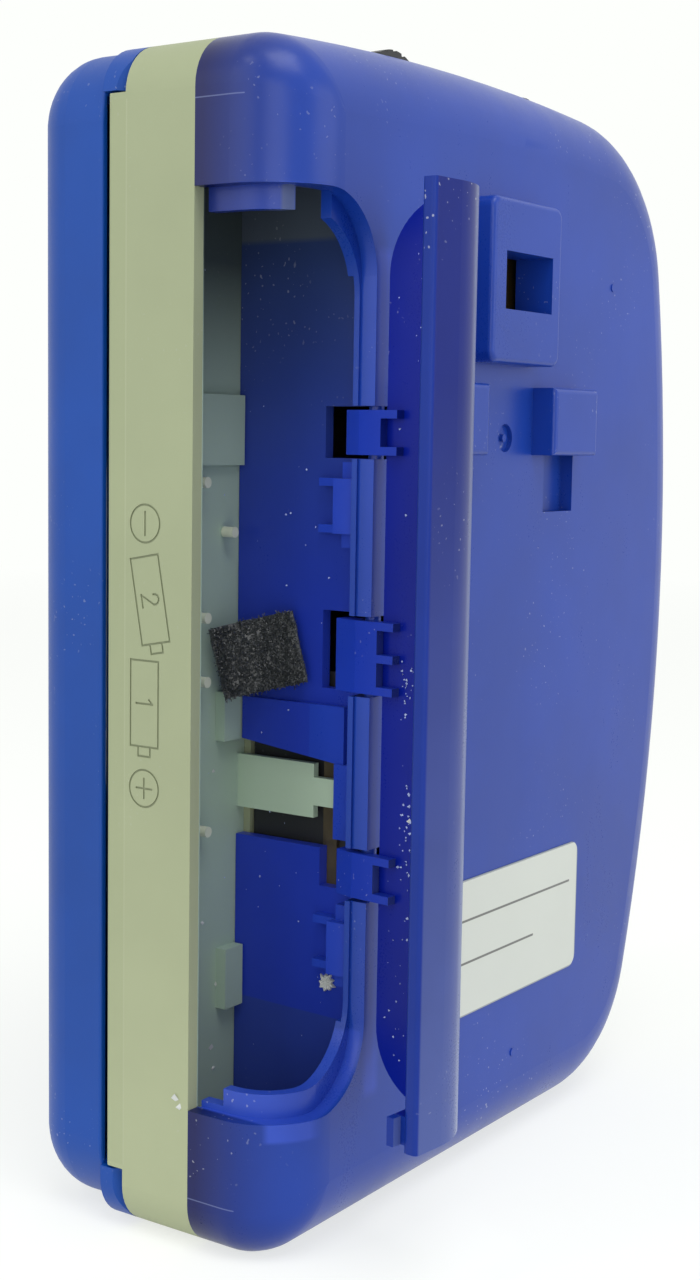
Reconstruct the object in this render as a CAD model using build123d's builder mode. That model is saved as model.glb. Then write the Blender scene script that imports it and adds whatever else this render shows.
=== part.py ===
"""Portable cassette player, seen standing on its bottom edge with the battery door open.

Frame: +Z up the long side, -Y towards the cassette lid, +Y towards the back,
+X towards the lid hinge and the battery door. The origin lies on the bottom face,
at the middle of the case's depth. All sizes are in millimetres.
"""
from build123d import *
from math import asin, atan2, cos, degrees, hypot, pi, radians, sin
import os

os.makedirs("parts", exist_ok=True)

# Case
height = 118.0
hinge_side = 42.0           # flat side with the lid hinge, from the middle
grip_side = 42.6            # furthest point of the bowed side
grip_peak_height = 64.0
grip_top = 35.0             # where the bowed side's curve would meet the top
crown_x = -2.0              # highest point of the top
crown_drop = 1.8            # fall of the top at the hinge side
grip_base = 30.5            # where the bowed side's curve meets the bottom
case_corners = (5.2, 4.8)     # rounding of the upper and lower hinge corner
lid_corners = (7.6, 8.6)      # the same on the lid
top_grip_round = 21.0
bottom_grip_round = 18.0
depth = 33.0
front = -depth / 2
back = depth / 2
front_round = 5.3
back_round = 7.6
wall = 1.5
edge_round = 0.3

# Division of the case into lid, band and rear cover
band_front = -5.9
band_back = 4.92
lid_gap = 0.5
lid_back = band_front - lid_gap
band_bevel = 0.5

# Deck and battery floor
deck_front = -3.0
deck_thickness = 1.4
deck_back = deck_front + deck_thickness
floor_front = -4.0
floor_back = -2.4
gap = 0.2                   # clearance between fixed neighbours that do not touch
slide_gap = 0.25            # clearance round sliding pieces
shaft_gap = 0.05            # radial clearance of a shaft in its bearing

# Lid hinge
lid_axis_x = hinge_side - 1.8
lid_axis_y = -4.8
lid_pin_radius = 0.65
lid_pin_length = 4.2
notch_depth_y = -3.48       # how far back the ear notches reach
notch_top = height - 6.33
notch_bottom = 6.48
ear_gap = 0.25
ear_inner_x = hinge_side - 7.5

# Cassette lid window
window_x = (-14.0, hinge_side - 12.0)
window_height = 36.0        # it is centred on the cassette's middle
window_round = 3.0
window_seat = 1.0
window_thickness = 0.8

# Battery chamber
chamber_wall_x = hinge_side - 16.5     # face of the chamber wall on the battery side
chamber_wall_thickness = 1.3
divider_x = chamber_wall_x - chamber_wall_thickness
chamber_bottom = 6.7
chamber_top = height - 7.1
chamber_end_thickness = 1.2
opening_x = hinge_side - 13.2
opening_z = (14.4, height - 15.5)
opening_round = 7.5
door_thickness = 1.6
door_gap = 0.25
door_edge_round = 0.5
door_hinge_gap = 0.35
seat_drop = door_thickness + 0.15
seat_thickness = 1.2
seat_width = 0.3
seat_bar_thickness = 0.6    # of the seat along the hinge side
seat_foot_width = 2.4
seat_top_width = 2.2
frame_width = 1.0           # how far the seat's frame reaches outside the opening

# Battery door hinge
door_axis_x = opening_x - 1.6
door_axis_y = 15.68
door_opening_angle = 84.2
bar_radius = 0.75
hook_gap = 0.1
hook_thickness = 1.0
hook_root = 2.0             # reach of a hook towards the leaf
hook_bend = 0.7             # where its outer face starts to slope
hook_slope = 0.45
prong_reach = 4.0
prong_width = 0.8
notch_gap = 0.4
tab_x = (hinge_side - door_thickness - 1.2, hinge_side - door_thickness - 0.4)
tab_z = (opening_z[0] + 0.9, opening_z[0] + 3.6)
tab_room_z = (tab_z[0] - slide_gap, tab_z[1] + slide_gap)
tab_front = band_back - 0.6
tab_back = band_back + 2.75
tab_step = 0.5              # reach of the tab's root into the leg
# Height, width, number of prongs and length of the tail of each clip
clips = [(80.2, 4.3, 2, 2.6), (58.5, 7.1, 3, 3.5), (36.8, 4.5, 2, 3.0)]

# Back of the case
clip_middle_x = door_axis_x - 22.5
boss_half = 7.3
boss_x = (clip_middle_x - boss_half, clip_middle_x + boss_half)
boss_z = (height - 30.4, height - 13.6)
boss_rise = 3.0
boss_window_x = (clip_middle_x - 5.2, clip_middle_x + 4.7)
boss_window_z = (boss_z[0] + 5.5, boss_z[0] + 11.4)
clip_hook_x = (clip_middle_x - 17.1, clip_middle_x - 7.0)
clip_hook_z = (boss_z[0] - 9.5, boss_z[0] - 2.2)
clip_hook_rise = 2.9
clip_hook_skin = 1.2
clip_slot_x = (clip_hook_x[0] + 0.4, clip_hook_x[1] - 2.9)
clip_slot_bottom = clip_hook_z[0] - 6.3
dimple = (clip_middle_x - 1.1, clip_hook_z[0] + 1.8)
back_pins = [(-20.8, boss_z[0] + 9.9), (-1.5, 10.9)]
clip_slot_depth = 1.5
plate_x = (-15.83, 18.0)
plate_z = (17.9, 32.9)
plate_thickness = 0.15
plate_round = 1.5

# Tape transport
hub_x = (divider_x - grip_side + wall) / 2 + 16.45    # reels and flywheel fill this width
cassette_middle = 59.0
hub_spacing = 42.5
hub_radius = 4.4
hub_front = -11.5
spindle_pin_radius = 1.0
capstan_x = hub_x - 28.5
capstan_z = cassette_middle - 32.0
capstan_radius = 1.0
capstan_front = -13.0
flywheel_radius = 15.0
flywheel_front = 1.35
flywheel_thickness = 1.8
gear_module = 0.8
gear_front = -1.3
gear_thickness = 2.2
hub_teeth = 30
idler_teeth = 18
pinion_teeth = 12
motor_x = hub_x + 1.0
motor_z = capstan_z - 9.0
motor_radius = 12.0
motor_front = 3.6
motor_length = 8.0
pulley_radius = 3.0
belt_thickness = 0.8
belt_gap = 0.25
plate_front = 3.5
plate_sheet = 0.8

# Head, pinch roller and keys
key_travel = 2.4
key_pitch = 12.7
key_width = 11.3
key_first = capstan_z + 18.0
key_rise = 2.2
key_front = -4.0
key_back = 3.0
key_root_x = 2.4 - grip_side
cap_round = 0.6
head_tip_x = capstan_x - 7.1
stem_end_x = head_tip_x - 1.9
stem_width = 4.0
stem_y = (-0.9, 1.9)
key_names = ["rewind_key", "forward_key", "play_key", "stop_key"]
bracket_x = (stem_end_x - 4.7, stem_end_x - 3.2)
head_width = 11.0
head_y = (-13.5, -4.5)
slide_sheet = 1.0
pinch_pivot_x = capstan_x - 8.5
pinch_pivot_z = capstan_z - 11.5
roller_radius = 4.2
roller_x = capstan_x - 8.0
roller_z = capstan_z
roller_y = (-12.0, -6.0)
pinch_angle = 13.0

# Electronics
board_y = (11.6, 12.6)
board_x = (-34.0, chamber_wall_x - 3.5)
board_z = (44.0, height - 20.0)
wheel_x = chamber_wall_x - 8.5
wheel_y = (8.7, 10.3)
wheel_z = height - 5.55
wheel_radius = 6.0
jack_x = -8.0
jack_y = 8.6
jack_bore = 1.8
jack_neck = 2.9
jack_top = height - 0.5
jack_depth = 14.5
jack_half = 3.6
jack_shoulder = jack_top - 2.2
boss_radius = 2.6
case_screws_at = [(-24.0, height - 14.0), (3.0, height - 8.0), (chamber_wall_x - 5.0, 6.4),
                  (-19.0, 7.0)]


def block(x, y, z, mode=Mode.ADD):
    """A box between two values along each axis."""
    with Locations(((x[0] + x[1]) / 2, (y[0] + y[1]) / 2, (z[0] + z[1]) / 2)):
        Box(x[1] - x[0], y[1] - y[0], z[1] - z[0], mode=mode)


def round_y(x, z, radius, y, mode=Mode.ADD):
    """A cylinder along Y between two depths."""
    with Locations(Location((x, (y[0] + y[1]) / 2, z), (90, 0, 0))):
        Cylinder(radius, y[1] - y[0], mode=mode)


def round_z(x, y, radius, z, mode=Mode.ADD):
    """A cylinder along Z between two heights."""
    with Locations((x, y, (z[0] + z[1]) / 2)):
        Cylinder(radius, z[1] - z[0], mode=mode)


def case_outline(inset):
    """The case seen from the front, in X and Z, drawn in by the inset, hinge corners sharp."""
    top_hinge = (hinge_side, height - crown_drop)
    top_grip = (-grip_top, height - crown_drop)
    with BuildSketch() as outline:
        with BuildLine():
            base = Line((-grip_base, 0), (hinge_side, 0))
            side = Line(base @ 1, top_hinge)
            crown = ThreePointArc(side @ 1, (crown_x, height), top_grip)
            ThreePointArc(crown @ 1, (-grip_side, grip_peak_height), base @ 0)
        make_face()
        for corner, radius in ((base @ 0, bottom_grip_round), (crown @ 1, top_grip_round)):
            fillet(outline.vertices().sort_by_distance(corner)[0], radius)
        if inset:
            offset(amount=-inset, kind=Kind.INTERSECTION)
    return outline.sketch


def case_form(inset, y_front, y_back, front_rim, back_rim, hinge_rounds=case_corners):
    """The case between two depths, with its rims and its corners rounded.

    A rim larger than the corners is rounded before them, and a smaller one after them.
    """
    corners = ((height - crown_drop, hinge_rounds[0] - inset), (0, hinge_rounds[1] - inset))
    smallest = min(radius for z, radius in corners)
    rims = [(rim, place) for rim, place in ((back_rim, -1), (front_rim, 0)) if rim]
    reach = 0.2 + max([rim for rim, place in rims if rim > smallest], default=0)
    with BuildPart() as form:
        with BuildSketch(Plane.XZ.offset(-y_back)):
            add(case_outline(inset))
        extrude(amount=y_back - y_front)
        for rim, place in rims:
            if rim > smallest:
                fillet(form.faces().sort_by(Axis.Y)[place].edges(), rim)
        for z, radius in corners:
            fillet(form.edges().filter_by(lambda edge: all(
                abs(vertex.X - hinge_side + inset) < reach and
                abs(abs(vertex.Z - z) - abs(inset)) < reach for vertex in edge.vertices())), radius)
        for rim, place in rims:
            if rim <= smallest:
                fillet(form.faces().sort_by(Axis.Y)[place].edges(), rim)
    return form.part


lid_form = case_form(0, front, lid_back, front_round, edge_round, lid_corners)
band_form = case_form(0, band_front, band_back, 0, 0)
cover_form = case_form(0, band_back, back, 0, back_round)
hollow_form = case_form(wall, front + wall, back - wall, front_round - wall, back_round - wall)
lid_hollow = case_form(wall, front + wall, 0, front_round - wall, 0, lid_corners)
with BuildPart() as ear_limits:
    add(case_form(0, front, lid_back, 0, 0, lid_corners))
    add(case_form(0, lid_back, back, 0, 0))


def opening_outline(inset, hinge_inset, foot_inset):
    """The battery opening seen from the back, drawn in at its hinge side and ends."""
    with BuildSketch() as outline:
        left = opening_x + hinge_inset
        low = opening_z[0] + foot_inset
        high = opening_z[1] - inset
        corner = opening_round - min(hinge_inset, foot_inset, inset)
        with BuildLine():
            Polyline((60, low), (left, low), (left, high), (60, high), close=True)
        make_face()
        fillet(outline.vertices().group_by(Axis.X)[0], corner)
    return outline.sketch


def clip_span(pair, flip):
    """A pair of X values, mirrored about the clip's middle when flip is -1."""
    return sorted(clip_middle_x + flip * (value - clip_middle_x) for value in pair)


# Lid, with its ears and hinge pins
with BuildPart() as lid_ears:
    with BuildSketch(Plane.XY.offset(-1)):
        with BuildLine():
            Polyline(
                (ear_inner_x, lid_back - 2.6),
                (hinge_side, lid_back - 2.6),
                (hinge_side, lid_axis_y + 0.05),
                (lid_axis_x + 0.55, lid_axis_y + 1.15),
                (ear_inner_x, lid_axis_y + 1.15),
                close=True,
            )
        make_face()
    extrude(amount=height + 2)
    add(ear_limits.part, mode=Mode.INTERSECT)
    block((0, 60), (-20, 0), (notch_bottom - ear_gap, notch_top + ear_gap), mode=Mode.SUBTRACT)
    round_z(lid_axis_x, lid_axis_y, lid_pin_radius,
            (notch_top + ear_gap - lid_pin_length, notch_top + 1))
    round_z(lid_axis_x, lid_axis_y, lid_pin_radius,
            (notch_bottom - 1, notch_bottom - ear_gap + lid_pin_length))

with BuildPart() as cassette_lid:
    add(lid_form)
    add(lid_hollow, mode=Mode.SUBTRACT)
    with BuildSketch(Plane.XY.offset(notch_bottom)):
        with BuildLine():
            Polyline((hinge_side - 0.7, lid_back), (hinge_side - wall - 0.3, lid_back),
                     (hinge_side - wall - 0.3, lid_back - 0.9), close=True)
        make_face()
    extrude(amount=notch_top - notch_bottom, mode=Mode.SUBTRACT)
    with BuildSketch(Plane.XZ.offset(-(front + window_thickness + 0.1))):
        with Locations((sum(window_x) / 2, cassette_middle)):
            RectangleRounded(window_x[1] - window_x[0], window_height, window_round)
    extrude(amount=5, mode=Mode.SUBTRACT)
    with BuildSketch(Plane.XZ.offset(-(front + wall + 1))):
        with Locations((sum(window_x) / 2, cassette_middle)):
            RectangleRounded(window_x[1] - window_x[0] - 2 * window_seat,
                             window_height - 2 * window_seat,
                             window_round - window_seat)
    extrude(amount=5, mode=Mode.SUBTRACT)
    add(lid_ears.part)
cassette_lid.part.label = "cassette_lid"

with BuildPart() as lid_window:
    with BuildSketch(Plane.XZ.offset(-(front + window_thickness + 0.1))):
        with Locations((sum(window_x) / 2, cassette_middle)):
            RectangleRounded(window_x[1] - window_x[0] - 0.2, window_height - 0.2,
                             window_round - 0.1)
    extrude(amount=window_thickness)
lid_window.part.label = "lid_window"

# Two bowed strips that press the cassette on to the deck
spring_sheet = 0.3
spring_rise = 1.2
with BuildPart() as lid_springs:
    for z in (cassette_middle - 34, cassette_middle + 34):
        with BuildSketch(Plane.XY.offset(z - 3)):
            with BuildLine():
                flat_in = Line((hub_x - 16, front + wall), (hub_x - 10, front + wall))
                bow = ThreePointArc(flat_in @ 1, (hub_x, front + wall + spring_rise),
                                    (hub_x + 10, front + wall))
                flat_out = Line(bow @ 1, (hub_x + 16, front + wall))
                Polyline(flat_out @ 1, (hub_x + 16, front + wall + spring_sheet),
                         (hub_x + 10, front + wall + spring_sheet))
                ThreePointArc((hub_x + 10, front + wall + spring_sheet),
                              (hub_x, front + wall + spring_rise + spring_sheet),
                              (hub_x - 10, front + wall + spring_sheet))
                Polyline((hub_x - 10, front + wall + spring_sheet),
                         (hub_x - 16, front + wall + spring_sheet), flat_in @ 0)
            make_face()
        extrude(amount=6)
lid_springs.part.label = "lid_springs"

# Catch: a tongue on the lid that enters a slot in the deck
catch_x = (-38.1, -37.1)
catch_z = (height - 27.4, height - 23.4)
catch_root = 4.5
with BuildPart() as lid_catch:
    block(catch_x, (front, deck_back + 0.5), catch_z)
    block((catch_x[0] - 0.9, catch_x[1] + 1.5), (front, front + wall + catch_root),
          (catch_z[0] - 1.5, catch_z[1] + 1.5))
    add(lid_hollow, mode=Mode.INTERSECT)
lid_catch.part.label = "lid_catch"


# Hub, idler and pinion centres; the idler touches both of its neighbours
def pitch_radius(teeth):
    """The radius at which a gear's teeth meet its neighbour's."""
    return gear_module * teeth / 2


take_up_z = cassette_middle - hub_spacing / 2
supply_z = cassette_middle + hub_spacing / 2
mesh_gap = 0.1
reach_pinion = pitch_radius(pinion_teeth) + pitch_radius(idler_teeth) + mesh_gap
reach_hub = pitch_radius(hub_teeth) + pitch_radius(idler_teeth) + mesh_gap
span = hypot(hub_x - capstan_x, take_up_z - capstan_z)
along = (span ** 2 + reach_pinion ** 2 - reach_hub ** 2) / (2 * span)
aside = (reach_pinion ** 2 - along ** 2) ** 0.5
line_x = (hub_x - capstan_x) / span
line_z = (take_up_z - capstan_z) / span
idler_x = capstan_x + along * line_x - aside * line_z
idler_z = capstan_z + along * line_z + aside * line_x


def next_phase(phase, teeth, x, z, next_teeth, next_x, next_z):
    """The tooth angle of a gear that meshes with a gear of known tooth angle."""
    direction = degrees(atan2(next_z - z, next_x - x))
    share = (direction - phase) / (360 / teeth) % 1
    return direction + 180 - (0.5 - share) * 360 / next_teeth


pinion_phase = 0.0
idler_phase = next_phase(pinion_phase, pinion_teeth, capstan_x, capstan_z,
                         idler_teeth, idler_x, idler_z)
take_up_phase = next_phase(idler_phase, idler_teeth, idler_x, idler_z,
                           hub_teeth, hub_x, take_up_z)


def gear_outline(teeth, phase, x, z):
    """A spur gear with plain tapered teeth, drawn in X and Z."""
    pitch = pitch_radius(teeth)
    root = pitch - 1.1 * gear_module
    tip = pitch + 0.8 * gear_module
    root_half = 0.30 * gear_module * pi
    tip_half = 0.12 * gear_module * pi
    flank = [(root - 0.2, -root_half), (tip, -tip_half), (tip, tip_half), (root - 0.2, root_half)]
    with BuildSketch() as outline:
        with Locations((x, z)):
            Circle(root)
        for tooth in range(teeth):
            angle = radians(phase + 360 / teeth * tooth)
            corners = [(x + r * cos(angle) - h * sin(angle), z + r * sin(angle) + h * cos(angle))
                       for r, h in flank]
            with BuildLine():
                Polyline(*corners, close=True)
            make_face()
    return outline.sketch


gear_y = (gear_front, gear_front + gear_thickness)
hub_heights = {"take_up": take_up_z, "supply": supply_z}

# Marks on the band, drawn in Y and Z: two cells, their numbers and their poles
marks_y = -0.85
mark_line = 0.2
mark_depth = 0.12
mark_circle = 1.72
mark_circles_z = (71.2, 45.5)
minus_half = 1.1
plus_half = 0.95
cell_mark = (1.74, 4.2)      # half the width and half the length of a drawn cell
nub_mark = (0.75, 0.95)      # half the width and the length of its pole
two_lean = 10.5
two_middle = (-0.19, 63.9)
one_middle = (-0.85, 53.8)


def turned(points, middle, lean):
    """Points round a middle, turned anticlockwise as seen from outside."""
    turn = radians(lean)
    return [(middle[0] + across * cos(turn) - up * sin(turn),
             middle[1] + across * sin(turn) + up * cos(turn)) for across, up in points]


half_wide, half_long = cell_mark
nub_half, nub_long = nub_mark
cell_lines = [
    [(-half_wide, -half_long), (half_wide, -half_long), (half_wide, half_long),
     (-half_wide, half_long), (-half_wide, -half_long)],
    [(-nub_half, -half_long), (-nub_half, -half_long - nub_long),
     (nub_half, -half_long - nub_long), (nub_half, -half_long)],
]
digit_two = [(0.6 + 0.5 * sin(radians(turn)), 0.5 * cos(radians(turn)))
             for turn in range(-10, 231, 30)] + [(-1.0, 0.6), (-1.0, -0.6)]
digit_one = [(0.6, 0.4), (1.0, 0.0), (-1.0, 0.0)]
mark_strokes = [turned(line, middle, lean)
                for middle, lean, digit in ((two_middle, two_lean, digit_two),
                                            (one_middle, 0, digit_one))
                for line in cell_lines + [digit]]
mark_strokes += [
    [(marks_y, mark_circles_z[0] - minus_half), (marks_y, mark_circles_z[0] + minus_half)],
    [(marks_y, mark_circles_z[1] - plus_half), (marks_y, mark_circles_z[1] + plus_half)],
    [(marks_y - plus_half, mark_circles_z[1]), (marks_y + plus_half, mark_circles_z[1])],
]

# Chassis: band, deck, battery floor, hinge blocks and the fixed posts
key_heights = [key_first + key_pitch * place for place in range(len(key_names))]
play_z = key_heights[key_names.index("play_key")]
head_pins_z = (cassette_middle - 13, cassette_middle + 13)
head_pin_x = head_tip_x - 3.4
head_pin_radius = 0.9
pinch_post_radius = 1.2
guide_pins_z = (capstan_z + 14.0, 2 * cassette_middle - capstan_z)
link_z = play_z
link_slot = (stem_end_x + 0.1, stem_end_x + key_travel + 2.0)
pegs = [(chamber_wall_x + aside, z)
        for aside, z in ((7.0, 75.0), (2.5, 69.9), (6.8, 61.4), (6.8, 54.9), (6.5, 39.5))]
peg_radius = 0.55
peg_rise = 1.6
floor_blocks = [((chamber_wall_x + gap, chamber_wall_x + reach), rise, z)
                for reach, rise, z in ((10.5, 0.9, (76.7, 83.8)), (3.5, 1.2, (48.4, 53.5)),
                                       (3.1, 1.3, (20.0, 26.4)))]
floor_blocks_top = floor_back + 1.2
tongue_y = (floor_back, 7.5)
tongue_z = (41.0, 46.6)
tongue_tip_y = 10.6
tongue_tip_z = (42.3, 45.2)
cut_out_y = tongue_tip_y + gap
panel_back = cut_out_y + 1.0

with BuildPart() as battery_floor:
    add(case_form(wall - 0.1, floor_front, floor_back, 0, 0))
    block((-60, divider_x - 1.4), (floor_front, floor_back), (0, height), mode=Mode.SUBTRACT)

with BuildPart() as chassis:
    add(band_form)
    chamfer(chassis.faces().sort_by(Axis.Y)[0].edges(), band_bevel)
    add(hollow_form, mode=Mode.SUBTRACT)
    with BuildSketch(Plane.XZ.offset(-deck_back)):
        add(case_outline(wall - 0.1))
        with Locations((divider_x - gap, height / 2)):
            Rectangle(height, 2 * height, align=(Align.MIN, Align.CENTER), mode=Mode.SUBTRACT)
    extrude(amount=deck_thickness)
    add(battery_floor.part)
    # Notches for the lid's ears, and the blocks that hold the lid's pins
    block((ear_inner_x - ear_gap, 60), (-20, notch_depth_y), (notch_top, 200), mode=Mode.SUBTRACT)
    block((ear_inner_x - ear_gap, 60), (-20, notch_depth_y), (-50, notch_bottom),
          mode=Mode.SUBTRACT)
    for z in ((notch_top - 6.5, notch_top), (notch_bottom, notch_bottom + 6.5)):
        block((lid_axis_x - 1.8, hinge_side - 0.6), (band_front + 0.2, floor_front + 0.4), z)
    pin_hole = lid_pin_radius + shaft_gap
    round_z(lid_axis_x, lid_axis_y, pin_hole, (notch_top - lid_pin_length - 0.3, notch_top + 1),
            mode=Mode.SUBTRACT)
    round_z(lid_axis_x, lid_axis_y, pin_hole,
            (notch_bottom - 1, notch_bottom + lid_pin_length + 0.3), mode=Mode.SUBTRACT)
    # Room for the latch tab of the battery door inside the band
    block((tab_x[0] - slide_gap, tab_x[1] + slide_gap), (tab_front - slide_gap, band_back + 1),
          tab_room_z, mode=Mode.SUBTRACT)
    # Raised blocks, pegs and the tongue in the battery chamber
    for x, rise, z in floor_blocks:
        block(x, (floor_back - 0.1, floor_back + rise), z)
    for x, z in pegs:
        round_y(x, z, peg_radius, (floor_back - 0.1, floor_back + peg_rise))
    tongue_x = (chamber_wall_x - 1.0, chamber_wall_x - 0.2)
    block(tongue_x, (floor_back - 0.1, tongue_y[1]), tongue_z)
    block(tongue_x, (tongue_y[1] - 0.1, tongue_tip_y), tongue_tip_z)
    # Holes through the deck
    for z in hub_heights.values():
        round_y(hub_x, z, hub_radius + 0.8, (deck_front - 1, deck_back + 1), mode=Mode.SUBTRACT)
    round_y(capstan_x, capstan_z, 2.42, (deck_front - 1, deck_back + 1), mode=Mode.SUBTRACT)
    block(link_slot, (deck_front - 1, deck_back + 1), (link_z - 2.0, link_z + 2.0),
          mode=Mode.SUBTRACT)
    block((catch_x[0] - slide_gap - 1.5, catch_x[1] + slide_gap + 0.3),
          (deck_front - 1, deck_back + 1),
          (catch_z[0] - slide_gap, catch_z[1] + slide_gap), mode=Mode.SUBTRACT)
    # Key windows through the band and room behind the caps
    for z in key_heights:
        span_z = (z - key_width / 2 - slide_gap, z + key_width / 2 + slide_gap)
        block((-60, key_root_x + key_travel + slide_gap),
              (key_front - slide_gap, key_back + slide_gap), span_z, mode=Mode.SUBTRACT)
    # Posts: head slide guides, pinch arm pivot, cassette pins, idler pin
    for z in head_pins_z:
        round_y(head_pin_x, z, head_pin_radius, (deck_front - 1.5, deck_back))
    round_y(pinch_pivot_x, pinch_pivot_z, pinch_post_radius, (deck_front - 2.6, deck_back))
    for z in guide_pins_z:
        round_y(capstan_x, z, 1.3, (capstan_front + 1.0, deck_back))
    round_y(idler_x, idler_z, spindle_pin_radius, (deck_front, gear_y[1] + 0.1))
    round_y(idler_x, idler_z, 2.2, (deck_back - 0.1, gear_y[0] - 0.1))
    # Case screw holes
    for x, z in case_screws_at:
        round_y(x, z, 1.1, (deck_front - 2, deck_back + 2), mode=Mode.SUBTRACT)
        round_y(x, z, 2.05, (deck_front - 2, deck_front + 0.7), mode=Mode.SUBTRACT)
    # Engraved marks that show how the two cells lie
    with BuildSketch(Plane.YZ.offset(hinge_side)):
        for z in mark_circles_z:
            with Locations((marks_y, z)):
                Circle(mark_circle + mark_line)
                Circle(mark_circle, mode=Mode.SUBTRACT)
        for points in mark_strokes:
            for start, end in zip(points, points[1:]):
                lean = degrees(atan2(end[1] - start[1], end[0] - start[0]))
                middle = ((start[0] + end[0]) / 2, (start[1] + end[1]) / 2)
                with Locations(Location(middle, lean)):
                    Rectangle(hypot(end[0] - start[0], end[1] - start[1]) + mark_line, mark_line)
    extrude(amount=-mark_depth, mode=Mode.SUBTRACT)
chassis.part.label = "chassis"

# Rear cover
seat_bar_y = back - seat_drop - seat_bar_thickness
seat_skin = case_form(seat_drop, band_back + 0.3, back - seat_drop, 0, back_round - seat_drop)
seat_core = case_form(seat_drop + seat_thickness, band_back - 1, back - seat_drop - seat_thickness,
                      0, back_round - seat_drop - seat_thickness)
with BuildPart() as door_pocket:
    with BuildSketch(Plane.XZ.offset(-(back + 1))):
        add(opening_outline(0, 0, 0))
    extrude(amount=depth)
    add(seat_skin, mode=Mode.SUBTRACT)

with BuildPart() as door_seat:
    add(hollow_form)
    block((-60, 60), (front, band_back + 0.3), (0, height), mode=Mode.SUBTRACT)
    add(seat_core, mode=Mode.SUBTRACT)
    with BuildSketch(Plane.XZ.offset(-(back + 1))):
        add(opening_outline(-frame_width, -3.6, -frame_width))
    extrude(amount=depth, mode=Mode.INTERSECT)
    add(door_pocket.part, mode=Mode.SUBTRACT)
    with BuildSketch(Plane.XZ.offset(-(back + 1))):
        add(opening_outline(seat_top_width, seat_width, seat_foot_width))
    extrude(amount=depth, mode=Mode.SUBTRACT)
    block((hinge_side - 8.0, hinge_side - 4.0), (0, 30), (opening_z[1] - 12.5, opening_z[1]),
          mode=Mode.SUBTRACT)
    block((opening_x - 5.0, opening_x + 1.0), (0, seat_bar_y),
          (opening_z[0] + opening_round, opening_z[1] - opening_round), mode=Mode.SUBTRACT)
    block((tab_x[0] - slide_gap, hinge_side), (band_back, tab_back + slide_gap), tab_room_z,
          mode=Mode.SUBTRACT)

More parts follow.
